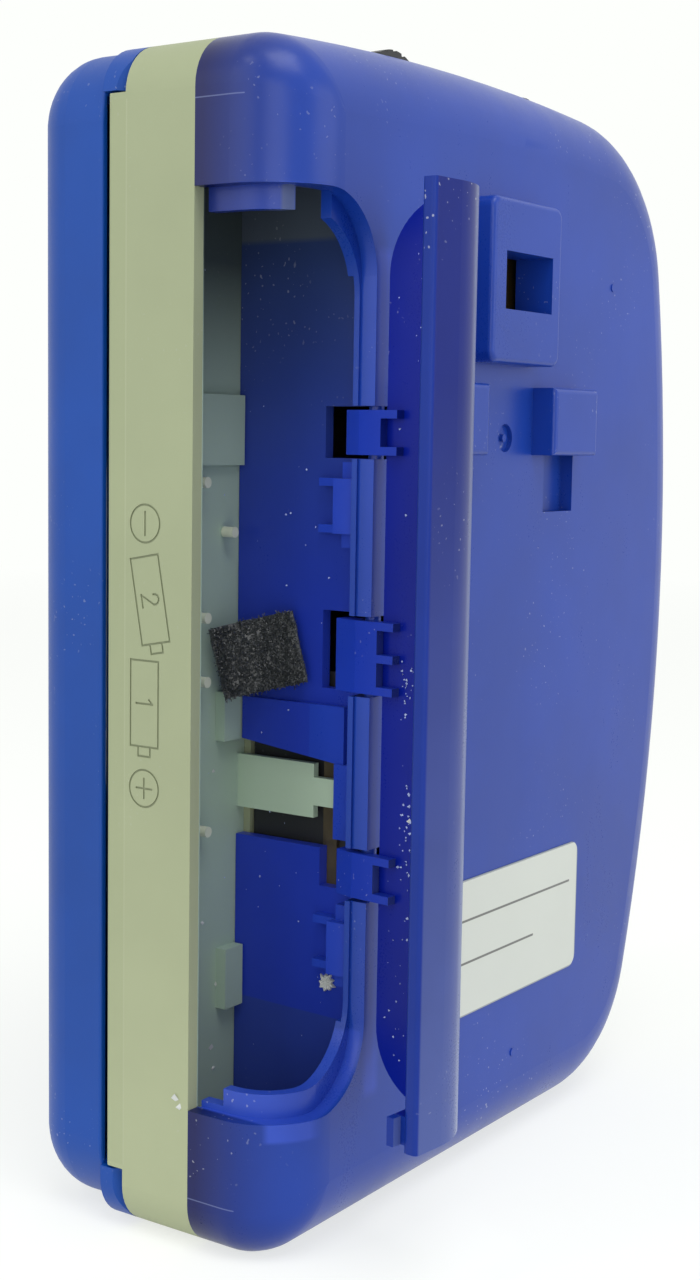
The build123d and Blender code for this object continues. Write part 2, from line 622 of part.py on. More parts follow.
with BuildPart() as rear_cover:
    add(cover_form)
    add(hollow_form, mode=Mode.SUBTRACT)
    with BuildSketch(Plane.XZ.offset(-(back + 1))):
        add(opening_outline(0, 0, 0))
    extrude(amount=back + 1 - band_back + 1, mode=Mode.SUBTRACT)
    add(door_seat.part)
    # Chamber wall and ends
    block((divider_x, chamber_wall_x), (floor_back + 0.1, back - wall + 0.2),
          (chamber_bottom - chamber_end_thickness, chamber_top + chamber_end_thickness))
    for z in ((chamber_bottom - chamber_end_thickness, chamber_bottom),
              (chamber_top, chamber_top + chamber_end_thickness)):
        block((divider_x, hinge_side - wall - 3.5), (floor_back + gap, back - wall + 0.2), z)
        block((divider_x, hinge_side - wall + 0.1), (band_back + gap, back - back_round), z)
    # Thicker panel above the tongue, and the cut-out for the tongue with its sloping upper edge
    block((chamber_wall_x - 0.1, chamber_wall_x + 0.8), (floor_blocks_top + gap, panel_back),
          (45.0, 52.9))
    with BuildSketch(Plane.YZ.offset(divider_x - 1)):
        with BuildLine():
            Polyline((floor_back - 1, 48.8), (cut_out_y, 47.1), (cut_out_y, 38.1),
                     (floor_back - 1, 38.1), close=True)
        make_face()
    extrude(amount=chamber_wall_thickness + 2, mode=Mode.SUBTRACT)
    # Brackets beside the clips, and the plate in front of the tongue's tip
    rim_y = seat_bar_y + 0.1
    block((chamber_wall_x - 0.1, chamber_wall_x + 1.0), (cut_out_y, rim_y), (38.3, 47.1))
    for low in (68.9, 24.6):
        block((chamber_wall_x - 0.1, chamber_wall_x + 1.6), (11.7, rim_y), (low, low + 8.4))
        block((chamber_wall_x - 0.1, chamber_wall_x + 2.6), (11.3, rim_y), (low + 1.4, low + 6.8))
        block((chamber_wall_x - 0.1, chamber_wall_x + 1.2), (8.6, 11.4), (low + 1.4, low + 2.2))
        block((chamber_wall_x - 0.1, chamber_wall_x + 1.2), (8.6, 11.4), (low + 6.0, low + 6.8))
    # Notches and hinge bars for the door's clips
    for z, width, prongs, tail in clips:
        notch_z = (z - width / 2 - notch_gap, z + width / 2 + notch_gap)
        block((door_axis_x - tail - notch_gap, opening_x + seat_width + 1),
              (10.0, back + 1), notch_z, mode=Mode.SUBTRACT)
        block((divider_x - 1, chamber_wall_x + 0.5), (8.5, back - wall), notch_z,
              mode=Mode.SUBTRACT)
        round_z(door_axis_x, door_axis_y, bar_radius, (notch_z[0] - 1, notch_z[1] + 1))
    # Belt clip boss with its window
    with BuildSketch(Plane.XZ.offset(-(back + boss_rise))):
        with Locations((sum(boss_x) / 2, sum(boss_z) / 2)):
            RectangleRounded(boss_x[1] - boss_x[0], boss_z[1] - boss_z[0], 1.2)
    extrude(amount=boss_rise + 0.5)
    # Clip hooks with their pockets
    for flip in (1, -1):
        block(clip_span(clip_hook_x, flip), (back - 0.5, back + clip_hook_rise), clip_hook_z)
        backing = (clip_slot_x[0] - clip_hook_skin, clip_slot_x[1] + clip_hook_skin)
        block(clip_span(backing, flip), (back - clip_slot_depth - clip_hook_skin, back - 0.2),
              (clip_slot_bottom - clip_hook_skin, clip_hook_z[1] - 0.5))
        block(clip_span(clip_slot_x, flip),
              (back - clip_slot_depth, back + clip_hook_rise - clip_hook_skin),
              (clip_slot_bottom, clip_hook_z[1] - 1.6), mode=Mode.SUBTRACT)
    raised = [edge for edge in rear_cover.edges().filter_by_position(
        Axis.Y, back + clip_hook_rise - 0.01, back + boss_rise + 0.01)]
    fillet(raised, 0.6)
    block(boss_window_x, (back - wall - 1, back + boss_rise + 1), boss_window_z,
          mode=Mode.SUBTRACT)
    round_y(*dimple, 1.5, (back - 0.5, back + 1), mode=Mode.SUBTRACT)
    round_y(*dimple, 0.4, (back - 0.6, back - 0.1))
    for x, z in back_pins:
        round_y(x, z, 0.45, (back - 0.2, back + 0.12))
    # Holes in the top for the headphone jack and the volume wheel
    round_z(jack_x, jack_y, jack_neck + 0.15, (height - 6, height + 1), mode=Mode.SUBTRACT)
    block((wheel_x - 5.3, wheel_x + 5.3), (wheel_y[0] - gap, wheel_y[1] + gap),
          (height - 6, height + 2), mode=Mode.SUBTRACT)
    # Screw columns
    for x, z in case_screws_at:
        round_y(x, z, boss_radius, (deck_back, back - wall + 0.2))
        round_y(x, z, 0.8, (deck_back - 1, deck_back + 7), mode=Mode.SUBTRACT)
rear_cover.part.label = "rear_cover"

# Battery door, made shut and then turned open
hinge_line = Axis((door_axis_x, door_axis_y, 0), (0, 0, 1))
leg_edge = band_back + door_gap
leaf_edge = opening_x + door_hinge_gap
with BuildPart() as door_shell:
    add(cover_form)
    with BuildSketch(Plane.XZ.offset(-(back + 1))):
        add(opening_outline(door_gap, door_hinge_gap, door_gap))
    extrude(amount=depth, mode=Mode.INTERSECT)
    add(case_form(door_thickness, band_back - 1, back - door_thickness, 0,
                  back_round - door_thickness), mode=Mode.SUBTRACT)
    block((0, 60), (-20, leg_edge), (-10, height + 10), mode=Mode.SUBTRACT)
    fillet(door_shell.faces().sort_by(Axis.Y)[0].edges().filter_by(Axis.Z), door_edge_round)

with BuildPart() as door_shut:
    add(door_shell.part)
    hook_low = door_axis_y - bar_radius - hook_gap - hook_thickness
    hook_high = door_axis_y - bar_radius - hook_gap
    for z, width, prongs, tail in clips:
        low = z - width / 2
        lip_x = (door_axis_x - tail, door_axis_x - bar_radius - 2 * hook_gap)
        with BuildSketch(Plane.XY.offset(low)):
            with BuildLine():
                Polyline((door_axis_x + hook_root, hook_low), (door_axis_x - hook_bend, hook_low),
                         (lip_x[0], hook_low + hook_slope), (lip_x[0], door_axis_y + 0.2),
                         (lip_x[1], door_axis_y + 0.2), (lip_x[1], hook_high),
                         (door_axis_x + hook_root, hook_high), close=True)
            make_face()
        extrude(amount=width)
        for place in range(prongs):
            rib = low + place * (width - prong_width) / (prongs - 1)
            block((door_axis_x + 1.0, door_axis_x + prong_reach),
                  (hook_low, back - door_thickness + 0.1), (rib, rib + prong_width))
            block((door_axis_x + 1.0, leaf_edge + 0.1),
                  (hook_high - 0.1, back - door_thickness + 0.1), (rib, rib + prong_width))
    # Latch tab beside the free edge of the leg
    block(tab_x, (tab_front, tab_back), tab_z)
    block((tab_x[0], tab_x[1] + tab_step), (leg_edge + gap, tab_back), tab_z)
battery_door = door_shut.part.rotate(hinge_line, door_opening_angle)
battery_door.label = "battery_door"

# Blank rating plate
with BuildPart() as rating_plate:
    with BuildSketch(Plane.XZ.offset(-(back + plate_thickness))):
        with Locations((sum(plate_x) / 2, sum(plate_z) / 2)):
            RectangleRounded(plate_x[1] - plate_x[0], plate_z[1] - plate_z[0], plate_round)
    extrude(amount=plate_thickness)
rating_plate.part.label = "rating_plate"

# Pile pad, bent across the corner of the chamber
with BuildPart() as pile_pad:
    with BuildSketch(Plane.XY.offset(53.8)):
        with BuildLine():
            Polyline(*[(chamber_wall_x + aside, y) for aside, y in (
                (5.8, -1.9), (2.8, 0.6), (0.5, 4.2), (0.3, 7.0), (1.8, 7.3),
                (2.1, 4.9), (3.9, 2.0), (6.0, -0.3))], close=True)
        make_face()
    extrude(amount=8.6)
pile_pad.part.label = "pile_pad"

# Battery contacts and the strip that joins them
strip_sheet = 0.5
strip_top = 54.1
with BuildPart() as bus_strip:
    block((divider_x - strip_sheet, divider_x), (8.0, 9.7), (24.0, strip_top))
bus_strip.part.label = "bus_strip"

cell_x = chamber_wall_x + 7.5
cell_y = 5.6
contact_sheet = 0.4
with BuildPart() as plus_contact:
    block((cell_x - 5, cell_x + 5), (cell_y - 6, cell_y + 6),
          (chamber_bottom, chamber_bottom + contact_sheet))
    round_z(cell_x, cell_y, 2.2, (chamber_bottom, chamber_bottom + 1.2))
plus_contact.part.label = "plus_contact"

with BuildPart() as minus_contact:
    with BuildSketch(Plane.XZ.offset(-(cell_y + 3.0))):
        with BuildLine():
            Polyline(
                (cell_x - 5, chamber_top), (cell_x + 5, chamber_top),
                (cell_x + 5, chamber_top - contact_sheet),
                (cell_x - 3.8, chamber_top - contact_sheet),
                (cell_x + 4.2, chamber_top - 4.0), (cell_x + 4.0, chamber_top - 4.45),
                (cell_x - 5, chamber_top - contact_sheet - 0.15), close=True)
        make_face()
    extrude(amount=6.0)
minus_contact.part.label = "minus_contact"

# Reel spindles and gears
spindle_parts = {}
gear_parts = {}
for name, z in hub_heights.items():
    phase = take_up_phase if name == "take_up" else 0.0
    with BuildPart() as spindle:
        round_y(hub_x, z, 3.2, (hub_front, gear_y[0]))
        for wing in range(6):
            angle = radians(wing * 60)
            with BuildSketch(Plane.XZ.offset(-(deck_front - 1.5))):
                with Locations(Location((hub_x + 3.4 * cos(angle), z + 3.4 * sin(angle)),
                                        wing * 60)):
                    Rectangle(2.0, 0.9)
            extrude(amount=5.0)
        round_y(hub_x, z, hub_radius, (deck_front + 0.2, gear_y[0]))
        round_y(hub_x, z, spindle_pin_radius + shaft_gap, (-20, 20), mode=Mode.SUBTRACT)
        fillet(spindle.faces().sort_by(Axis.Y)[0].outer_wire().edges(), 0.8)
    spindle.part.label = name + "_spindle"
    spindle_parts[name] = spindle.part
    with BuildPart() as reel_gear:
        with BuildSketch(Plane.XZ.offset(-gear_y[1])):
            add(gear_outline(hub_teeth, phase, hub_x, z))
        extrude(amount=gear_thickness)
        round_y(hub_x, z, spindle_pin_radius + shaft_gap, (-20, 20), mode=Mode.SUBTRACT)
    reel_gear.part.label = name + "_gear"
    gear_parts[name] = reel_gear.part

with BuildPart() as idler_gear:
    with BuildSketch(Plane.XZ.offset(-gear_y[1])):
        add(gear_outline(idler_teeth, idler_phase, idler_x, idler_z))
    extrude(amount=gear_thickness)
    round_y(idler_x, idler_z, spindle_pin_radius + shaft_gap, (-20, 20), mode=Mode.SUBTRACT)
idler_gear.part.label = "idler_gear"

# Flywheel with its pinion and belt groove, on the capstan
flywheel_y = (flywheel_front, flywheel_front + flywheel_thickness)
belt_y = (flywheel_front + 0.5, flywheel_front + 1.3)
with BuildPart() as flywheel:
    round_y(capstan_x, capstan_z, flywheel_radius, flywheel_y)
    with Locations(Location((capstan_x, sum(belt_y) / 2, capstan_z), (90, 0, 0))):
        Torus(flywheel_radius + 0.1, 0.5, mode=Mode.SUBTRACT)
    with BuildSketch(Plane.XZ.offset(-(flywheel_y[0] + 0.1))):
        add(gear_outline(pinion_teeth, pinion_phase, capstan_x, capstan_z))
    extrude(amount=flywheel_y[0] + 0.1 - gear_y[0])
    round_y(capstan_x, capstan_z, capstan_radius, (-20, 20), mode=Mode.SUBTRACT)
    for spoke in range(5):
        angle = radians(spoke * 72)
        round_y(capstan_x + 9.8 * cos(angle), capstan_z + 9.8 * sin(angle), 2.2, flywheel_y,
                mode=Mode.SUBTRACT)
flywheel.part.label = "flywheel"

with BuildPart() as capstan:
    round_y(capstan_x, capstan_z, capstan_radius, (capstan_front, flywheel_y[1] + 0.2))
capstan.part.label = "capstan"

with BuildPart() as capstan_bearing:
    round_y(capstan_x, capstan_z, 2.4, (deck_front - 2.4, deck_back))
    round_y(capstan_x, capstan_z, 3.0, (deck_front - 2.4, deck_front))
    round_y(capstan_x, capstan_z, capstan_radius + shaft_gap, (-20, 20), mode=Mode.SUBTRACT)
capstan_bearing.part.label = "capstan_bearing"

# Motor, pulley and belt
with BuildPart() as motor:
    round_y(motor_x, motor_z, motor_radius, (motor_front, motor_front + motor_length))
    fillet(motor.edges().filter_by(GeomType.CIRCLE), 0.8)
    round_y(motor_x, motor_z, 3.0, (motor_front - 0.4, motor_front + 1))
    round_y(motor_x, motor_z, 0.85, (motor_front - 1, motor_front + 3), mode=Mode.SUBTRACT)
motor.part.label = "motor"

with BuildPart() as motor_pulley:
    round_y(motor_x, motor_z, pulley_radius + 0.5, (belt_y[0] - 0.4, belt_y[1] + 0.4))
    round_y(motor_x, motor_z, pulley_radius + 1, (belt_y[0] - 0.1, belt_y[1] + 0.1),
            mode=Mode.SUBTRACT)
    round_y(motor_x, motor_z, pulley_radius, (belt_y[0] - 0.2, belt_y[1] + 0.2))
    round_y(motor_x, motor_z, 0.8, (belt_y[1], motor_front + 2.5))
motor_pulley.part.label = "motor_pulley"


def belt_loop(grow):
    """The outline of a belt round the flywheel and the motor pulley."""
    big = flywheel_radius + belt_gap + grow
    small = pulley_radius + belt_gap + grow
    run = hypot(motor_x - capstan_x, motor_z - capstan_z)
    heading = atan2(motor_z - capstan_z, motor_x - capstan_x)
    lean = asin((big - small) / run)

    def touch(x, z, radius, side):
        angle = heading + side * (pi / 2 - lean)
        return (x + radius * cos(angle), z + radius * sin(angle))

    with BuildSketch() as loop:
        with BuildLine():
            upper = Line(touch(capstan_x, capstan_z, big, 1), touch(motor_x, motor_z, small, 1))
            lower = Line(touch(motor_x, motor_z, small, -1), touch(capstan_x, capstan_z, big, -1))
            ThreePointArc(upper @ 1, (motor_x + small * cos(heading),
                                      motor_z + small * sin(heading)), lower @ 0)
            ThreePointArc(lower @ 1, (capstan_x - big * cos(heading),
                                      capstan_z - big * sin(heading)), upper @ 0)
        make_face()
    return loop.sketch


with BuildPart() as drive_belt:
    with BuildSketch(Plane.XZ.offset(-belt_y[1])):
        add(belt_loop(belt_thickness))
        add(belt_loop(0), mode=Mode.SUBTRACT)
    extrude(amount=belt_y[1] - belt_y[0])
drive_belt.part.label = "drive_belt"

# Steel plate behind the gears, which holds the two reel pins
standoffs = [(hub_x - 14.0, cassette_middle + 6.0), (hub_x + 13.0, cassette_middle),
             (hub_x - 14.0, cassette_middle + 31.0)]
plate_corners = [(-16.5, 34.5), (5.0, 34.5), (15.4, 11.0), (15.4, -27.0), (-8.0, -27.0),
                 (-8.5, -1.0), (-16.5, 3.0)]    # from the middle between the hubs
with BuildPart() as reel_plate:
    with BuildSketch(Plane.XZ.offset(-(plate_front + plate_sheet))):
        with BuildLine():
            Polyline(*[(hub_x + aside, cassette_middle + up) for aside, up in plate_corners],
                     close=True)
        make_face()
    extrude(amount=plate_sheet)
    for z in hub_heights.values():
        round_y(hub_x, z, spindle_pin_radius, (hub_front - 0.6, plate_front + 0.2))
        round_y(hub_x, z, 2.0, (gear_y[1] + 0.15, plate_front + 0.1))
    for x, z in standoffs:
        round_y(x, z, 1.8, (deck_back, plate_front + 0.1))
reel_plate.part.label = "reel_plate"

# Pinch arm, roller and its pin
arm_y = (deck_front - 1.5, deck_front - 0.4)
with BuildPart() as pinch_arm:
    with BuildSketch(Plane.XZ.offset(-arm_y[1])):
        with Locations((pinch_pivot_x, pinch_pivot_z)):
            Circle(2.4)
        with Locations((roller_x, roller_z)):
            Circle(2.2)
        with BuildLine():
            Polyline((pinch_pivot_x - 2.2, pinch_pivot_z), (roller_x - 2.0, roller_z),
                     (roller_x + 2.0, roller_z), (pinch_pivot_x + 2.2, pinch_pivot_z), close=True)
        make_face()
    extrude(amount=arm_y[1] - arm_y[0])
    round_y(roller_x, roller_z, 0.8, (roller_y[0] - 0.8, arm_y[1]))
    round_y(roller_x, roller_z, 1.6, (roller_y[1] + 0.1, arm_y[1]))
    round_y(pinch_pivot_x, pinch_pivot_z, pinch_post_radius + shaft_gap, (-20, 20),
            mode=Mode.SUBTRACT)
pinch_arm.part.label = "pinch_arm"

with BuildPart() as pinch_roller:
    round_y(roller_x, roller_z, roller_radius, roller_y)
    fillet(pinch_roller.edges().filter_by(GeomType.CIRCLE), 0.3)
    round_y(roller_x, roller_z, 0.8 + shaft_gap, (-20, 20), mode=Mode.SUBTRACT)
pinch_roller.part.label = "pinch_roller"

# Head slide with its guide slots and the link down to the play key
slide_y = (deck_front - 0.2 - slide_sheet, deck_front - 0.2)
slot_half = head_pin_radius + 0.1
with BuildPart() as head_slide:
    block((head_tip_x - 9.4, head_tip_x), slide_y, (cassette_middle - 17, cassette_middle + 17))
    for z in head_pins_z:
        block((head_pin_x - key_travel - slot_half, head_pin_x), (-20, 0),
              (z - slot_half, z + slot_half), mode=Mode.SUBTRACT)
        round_y(head_pin_x, z, slot_half, (-20, 0), mode=Mode.SUBTRACT)
    block((stem_end_x + 0.3, stem_end_x + 1.5), (slide_y[0], stem_y[1]),
          (link_z - 1.5, link_z + 1.5))
head_slide.part.label = "head_slide"

with BuildPart() as play_head:
    block((head_tip_x - 6.0, head_tip_x - 1.0), head_y,
          (cassette_middle - head_width / 2, cassette_middle + head_width / 2))
    with BuildSketch(Plane.XY.offset(cassette_middle - head_width / 2 + 0.8)):
        with BuildLine():
            nose = Line((head_tip_x - 1.2, head_y[0]), (head_tip_x - 1.2, head_y[1]))
            Line(nose @ 1, (head_tip_x - 0.6, head_y[1]))
            ThreePointArc((head_tip_x - 0.6, head_y[1]), (head_tip_x, sum(head_y) / 2),
                          (head_tip_x - 0.6, head_y[0]))
            Line((head_tip_x - 0.6, head_y[0]), nose @ 0)
        make_face()
    extrude(amount=head_width - 1.6)
    block((head_tip_x - 6.0, head_tip_x - 1.0), (head_y[1] - 0.1, slide_y[0]),
          (cassette_middle - head_width / 2, cassette_middle + head_width / 2))
play_head.part.label = "play_head"

# Keys: a cap that follows the bowed side, and a stem that slides in the bracket
with BuildPart() as cap_form:
    with BuildSketch(Plane.XZ.offset(-key_back)):
        add(case_outline(-key_rise))
    extrude(amount=key_back - key_front)
    rim_faces = cap_form.faces().filter_by(Axis.Y)
    fillet(rim_faces.edges(), cap_round)
key_parts = {}
for name, z in zip(key_names, key_heights):
    with BuildPart() as key:
        add(cap_form.part)
        block((-60, key_root_x), (-30, 30), (z - key_width / 2, z + key_width / 2),
              mode=Mode.INTERSECT)
        block((key_root_x - 0.5, stem_end_x), stem_y, (z - stem_width / 2, z + stem_width / 2))
    key.part.label = name
    key_parts[name] = key.part

with BuildPart() as key_bracket:
    block(bracket_x, (deck_back, stem_y[1] + 1.6), (key_heights[0] - 4.5, key_heights[-1] + 4.5))
    for z in key_heights:
        block((-60, 0), (stem_y[0] - 0.1, stem_y[1] + 0.1),
              (z - stem_width / 2 - 0.1, z + stem_width / 2 + 0.1), mode=Mode.SUBTRACT)
key_bracket.part.label = "key_bracket"

# Circuit board and what it carries
with BuildPart() as circuit_board:
    block(board_x, board_y, board_z)
    block((-17.0, board_x[1]), board_y, (board_z[1] - 1, board_z[1] + 8))
circuit_board.part.label = "circuit_board"

chips = [(-22.0, 70.0, 14.0, 8.0, 1.6), (6.0, board_z[1] - 8.0, 9.0, 9.0, 1.4),
         (-24.0, board_z[1] - 8.0, 6.0, 4.0, 1.2)]
cans = [(-26.0, 50.0, 2.5, 6.0), (-19.0, 50.0, 2.0, 5.0), (-12.0, 52.0, 3.1, 6.5),
        (-28.0, 60.0, 2.0, 5.0), (2.0, 47.5, 2.0, 5.0)]
with BuildPart() as board_parts:
    for x, z, wide, high, rise in chips:
        block((x - wide / 2, x + wide / 2), (board_y[1], board_y[1] + rise),
              (z - high / 2, z + high / 2))
    for x, z, radius, rise in cans:
        round_y(x, z, radius, (board_y[0] - rise, board_y[0]))
board_parts.part.label = "board_parts"

with BuildPart() as volume_body:
    block((wheel_x - 5, wheel_x + 5), (wheel_y[1] + 0.2, board_y[0]), (wheel_z - 9, wheel_z + 2.6))
    round_y(wheel_x, wheel_z, 1.4 + shaft_gap, (5, 15), mode=Mode.SUBTRACT)
volume_body.part.label = "volume_body"

with BuildPart() as volume_wheel:
    round_y(wheel_x, wheel_z, wheel_radius, wheel_y)
    for rib in range(24):
        angle = radians(rib * 15)
        round_y(wheel_x + wheel_radius * cos(angle), wheel_z + wheel_radius * sin(angle), 0.3,
                wheel_y, mode=Mode.SUBTRACT)
    round_y(wheel_x, wheel_z, 1.4, (wheel_y[0], board_y[0] + 0.6))
volume_wheel.part.label = "volume_wheel"

with BuildPart() as headphone_jack:
    block((jack_x - jack_half, jack_x + jack_half), (jack_y - 3.0, board_y[0]),
          (jack_top - jack_depth - 0.8, jack_shoulder))
    round_z(jack_x, jack_y, jack_neck, (jack_shoulder - 0.5, jack_top))
    round_z(jack_x, jack_y, jack_bore, (jack_top - jack_depth, jack_top + 1), mode=Mode.SUBTRACT)
headphone_jack.part.label = "headphone_jack"

# Screws that hold the chassis to the rear cover
with BuildPart() as case_screws:
    for x, z in case_screws_at:
        round_y(x, z, 1.9, (deck_front, deck_front + 0.6))
        round_y(x, z, 0.75, (deck_front + 0.5, deck_back + 6))
        for wide, high in ((1.2, 0.2), (0.2, 1.2)):
            block((x - wide, x + wide), (deck_front - 1, deck_front + 0.3), (z - high, z + high),
                  mode=Mode.SUBTRACT)
case_screws.part.label = "case_screws"

finished = [
    chassis.part, rear_cover.part, cassette_lid.part, lid_window.part, lid_springs.part,
    lid_catch.part, battery_door, rating_plate.part, pile_pad.part, bus_strip.part,
    plus_contact.part, minus_contact.part, *spindle_parts.values(), *gear_parts.values(),
    idler_gear.part, flywheel.part, capstan.part, capstan_bearing.part, motor.part,
    motor_pulley.part, drive_belt.part, reel_plate.part, pinch_arm.part, pinch_roller.part,
    head_slide.part, play_head.part, *key_parts.values(), key_bracket.part, circuit_board.part,
    board_parts.part, volume_body.part, volume_wheel.part, headphone_jack.part, case_screws.part,
]
for piece in finished:
    export_step(piece, "parts/" + piece.label + ".step")
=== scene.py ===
"""Looks of a portable cassette player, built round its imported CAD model.

Metres, in the part's own frame: +Z up, -Y out of the cassette lid, +Y out of the back,
+X towards the lid hinge and the battery door. Sizes in the tables are in millimetres.
"""
from math import cos, hypot, pi, radians, sin
from random import Random

import bpy
from mathutils import Matrix, Vector
from mathutils.noise import noise


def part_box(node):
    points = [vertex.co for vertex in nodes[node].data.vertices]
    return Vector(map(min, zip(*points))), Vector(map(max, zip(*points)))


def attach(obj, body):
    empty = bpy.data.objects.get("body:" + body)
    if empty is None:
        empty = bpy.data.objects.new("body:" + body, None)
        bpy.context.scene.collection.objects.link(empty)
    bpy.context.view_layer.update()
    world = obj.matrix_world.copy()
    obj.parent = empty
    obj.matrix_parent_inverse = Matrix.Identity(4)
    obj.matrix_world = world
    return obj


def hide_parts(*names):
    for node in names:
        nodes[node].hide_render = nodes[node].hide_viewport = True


MM = 0.001

# Places on the CAD model in millimetres, and the turn of the open door in radians
WALL_FACE = 25.6
CLIP_FACE = 26.4
GRAIN_FLOOR = -2.3
DUST_FLOOR = -2.38
BAND_FACE = 42.0
BACK_FACE = 16.5
DOOR_WALL = 1.6
DOOR_AXIS = (27.2, 15.68)
DOOR_TURN = radians(84.2)
PEGS = ((32.5, 75.0), (28.0, 69.9), (32.3, 61.4), (32.3, 54.9), (32.0, 39.5))

# Directions of the door's outer faces, the second one for a painted highlight along the rim, and
# the camera's place, directions and lens
DOOR_OUTWARD = (-0.632, 0.775, 0.0)
DOOR_RIM_HIGHLIGHT = (-0.565, 0.825, 0.0)
CAMERA_AT = (0.17776, 0.11569, 0.07977)
CAMERA_RIGHT = (-0.5649, 0.8250, 0.0165)
CAMERA_FORWARD = (-0.8212, -0.5602, -0.1087)
CAMERA_LENS = 52.29
CAMERA_SENSOR = 36.0
CAMERA_NEAR = 0.01

# Boxes that mark the zones of a material, in millimetres
COVER_CHAMBER = {"X": (23.0, 38.8), "Y": (-3.0, 13.4), "Z": (5.4, 112.4)}
WALL_FITTINGS = {"X": (25.6, 30.0), "Y": (7.6, 13.4), "Z": (24.0, 78.0)}
DOOR_SEAT = {"X": (26.2, 40.4), "Y": (5.2, 16.0), "Z": (12.8, 21.0)}
HINGE_STRIP = {"X": (26.9, 28.2), "Y": (15.9, 17.0), "Z": (15.0, 97.0)}
HEAD_LIP = {"X": (36.0, 40.4), "Y": (4.9, 15.0), "Z": (100.0, 102.6)}
BAND_CHAMBER = {"X": (24.1, 40.6), "Y": (-4.5, 10.9), "Z": (5.0, 112.5)}
TONGUE = {"X": (24.2, 25.45), "Y": (-2.2, 10.9), "Z": (40.5, 47.0)}
SIGN_GROOVES = {"X": (41.80, 41.93), "Y": (-3.4, 2.8), "Z": (42.0, 75.0)}
BAND_STEP = {"X": (41.9, 42.2), "Y": (-3.42, -3.30), "Z": (7.0, 111.0)}
BAND_STRIP = {"X": (41.9, 42.2), "Y": (-6.0, -3.36), "Z": (7.0, 111.0)}
DOOR_HOOKS = {"X": (20.0, 31.35), "Y": (13.0, 14.82), "Z": (30.0, 90.0)}
PLATE_INNER = {"X": (-15.66, 17.84), "Z": (18.06, 32.74)}
PLATE_RULINGS = ({"X": (-13.9, 16.0), "Z": (28.30, 28.52)},
                 {"X": (-5.4, 16.0), "Z": (23.62, 23.84)})
MOULD_LINES = (110.4, 5.6)

# Noise scales of the materials, in cycles per metre
FINE_GRAIN = 5200.0
MOTTLE = 34.0
SMEAR = 90.0
SPECKS = 2600.0
SPECK_PATCHES = 60.0
BRUSHING = 900.0
TARNISH = 160.0
RUBBER_GRAIN = 3000.0
RUBBER_MOTTLE = 140.0
WINDOW_WAVES = 300.0

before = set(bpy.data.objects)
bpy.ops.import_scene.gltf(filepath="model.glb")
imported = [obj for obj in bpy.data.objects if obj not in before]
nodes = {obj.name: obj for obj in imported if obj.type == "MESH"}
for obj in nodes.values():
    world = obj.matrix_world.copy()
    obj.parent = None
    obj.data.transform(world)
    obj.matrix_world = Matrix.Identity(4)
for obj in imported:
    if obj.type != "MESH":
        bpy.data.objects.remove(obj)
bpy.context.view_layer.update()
scene = bpy.context.scene

# Colours, as linear RGB
BLUE_CASE = (0.008, 0.047, 0.350)
BLUE_EDGE = (0.001, 0.004, 0.080)
# Painted light on the door's seat, the strip beside the hinge and the lip at the chamber's head
BLUE_PAINTED_LIGHT = (0.026, 0.072, 0.480)
BLUE_LID = (0.001, 0.056, 0.330)
BLUE_DEEP = (0.015, 0.040, 0.420)
# Painted shade towards the chamber's upper end, and painted shadow in its head
BLUE_PAINTED_SHADE = (0.030, 0.056, 0.180)
BLUE_PAINTED_SHADOW = (0.085, 0.110, 0.150)
BLUE_FITTING = (0.016, 0.052, 0.460)
BLUE_LEAF = (0.001, 0.011, 0.270)
BLUE_LEG = (0.001, 0.012, 0.190)
# Painted reflection of the white floor low on the door's leg, and a painted highlight along its
# rim
BLUE_LEG_FLOOR_REFLECTION = (0.070, 0.105, 0.340)
BLUE_RIM_HIGHLIGHT = (0.35, 0.42, 0.62)
BEIGE = (0.345, 0.385, 0.238)
BEIGE_LOW = (0.405, 0.445, 0.275)
# Painted reflection of the blue cover on the beige inside the chamber, and painted shade at its
# upper end
BEIGE_BLUE_REFLECTION = (0.39, 0.51, 0.41)
BEIGE_UPPER_SHADE = (0.060, 0.082, 0.082)
DUST = (0.62, 0.64, 0.70)
INK = (0.06, 0.06, 0.06)
BLUE_MOULD_LINE = (0.25, 0.30, 0.55)
BLUE_HOOK = (0.010, 0.038, 0.40)
BLUE_LEAF_EDGE = (0.006, 0.030, 0.270)
# Painted light on the tongue in the chamber
TONGUE_PAINTED_LIGHT = (0.45, 0.58, 0.44)
GREY_PEG = (0.66, 0.70, 0.55)
BEIGE_STRIP = (0.33, 0.37, 0.215)
# Painted highlight along the band's step, and painted shade in the engraved signs
BEIGE_STEP_HIGHLIGHT = (0.55, 0.58, 0.42)
BEIGE_GROOVE_SHADE = (0.16, 0.18, 0.11)
PLATE_WHITE = (0.64, 0.67, 0.62)
PLATE_EDGE = (0.30, 0.33, 0.36)

# Colours of the floor and backdrop, as linear RGB and opacity
SOFT_WHITE = (0.985, 1.0, 0.975, 1)
FLOOR_LIT = (0.86, 0.87, 0.86, 1)
FLOOR_SEEN = (0.36, 0.365, 0.36, 1)
BLACK = (0.0, 0.0, 0.0, 1)

# Glow of the floor and backdrop, and the distances in metres where one becomes the other
FLOOR_GLOW = 0.69
BACKDROP_SEEN = 1.0
BACKDROP_LIT = 0.55
FADE_FROM = 0.25
FADE_TO = 0.9
FLOOR_HALF = 6.0
FLOOR_DROP = 0.00002


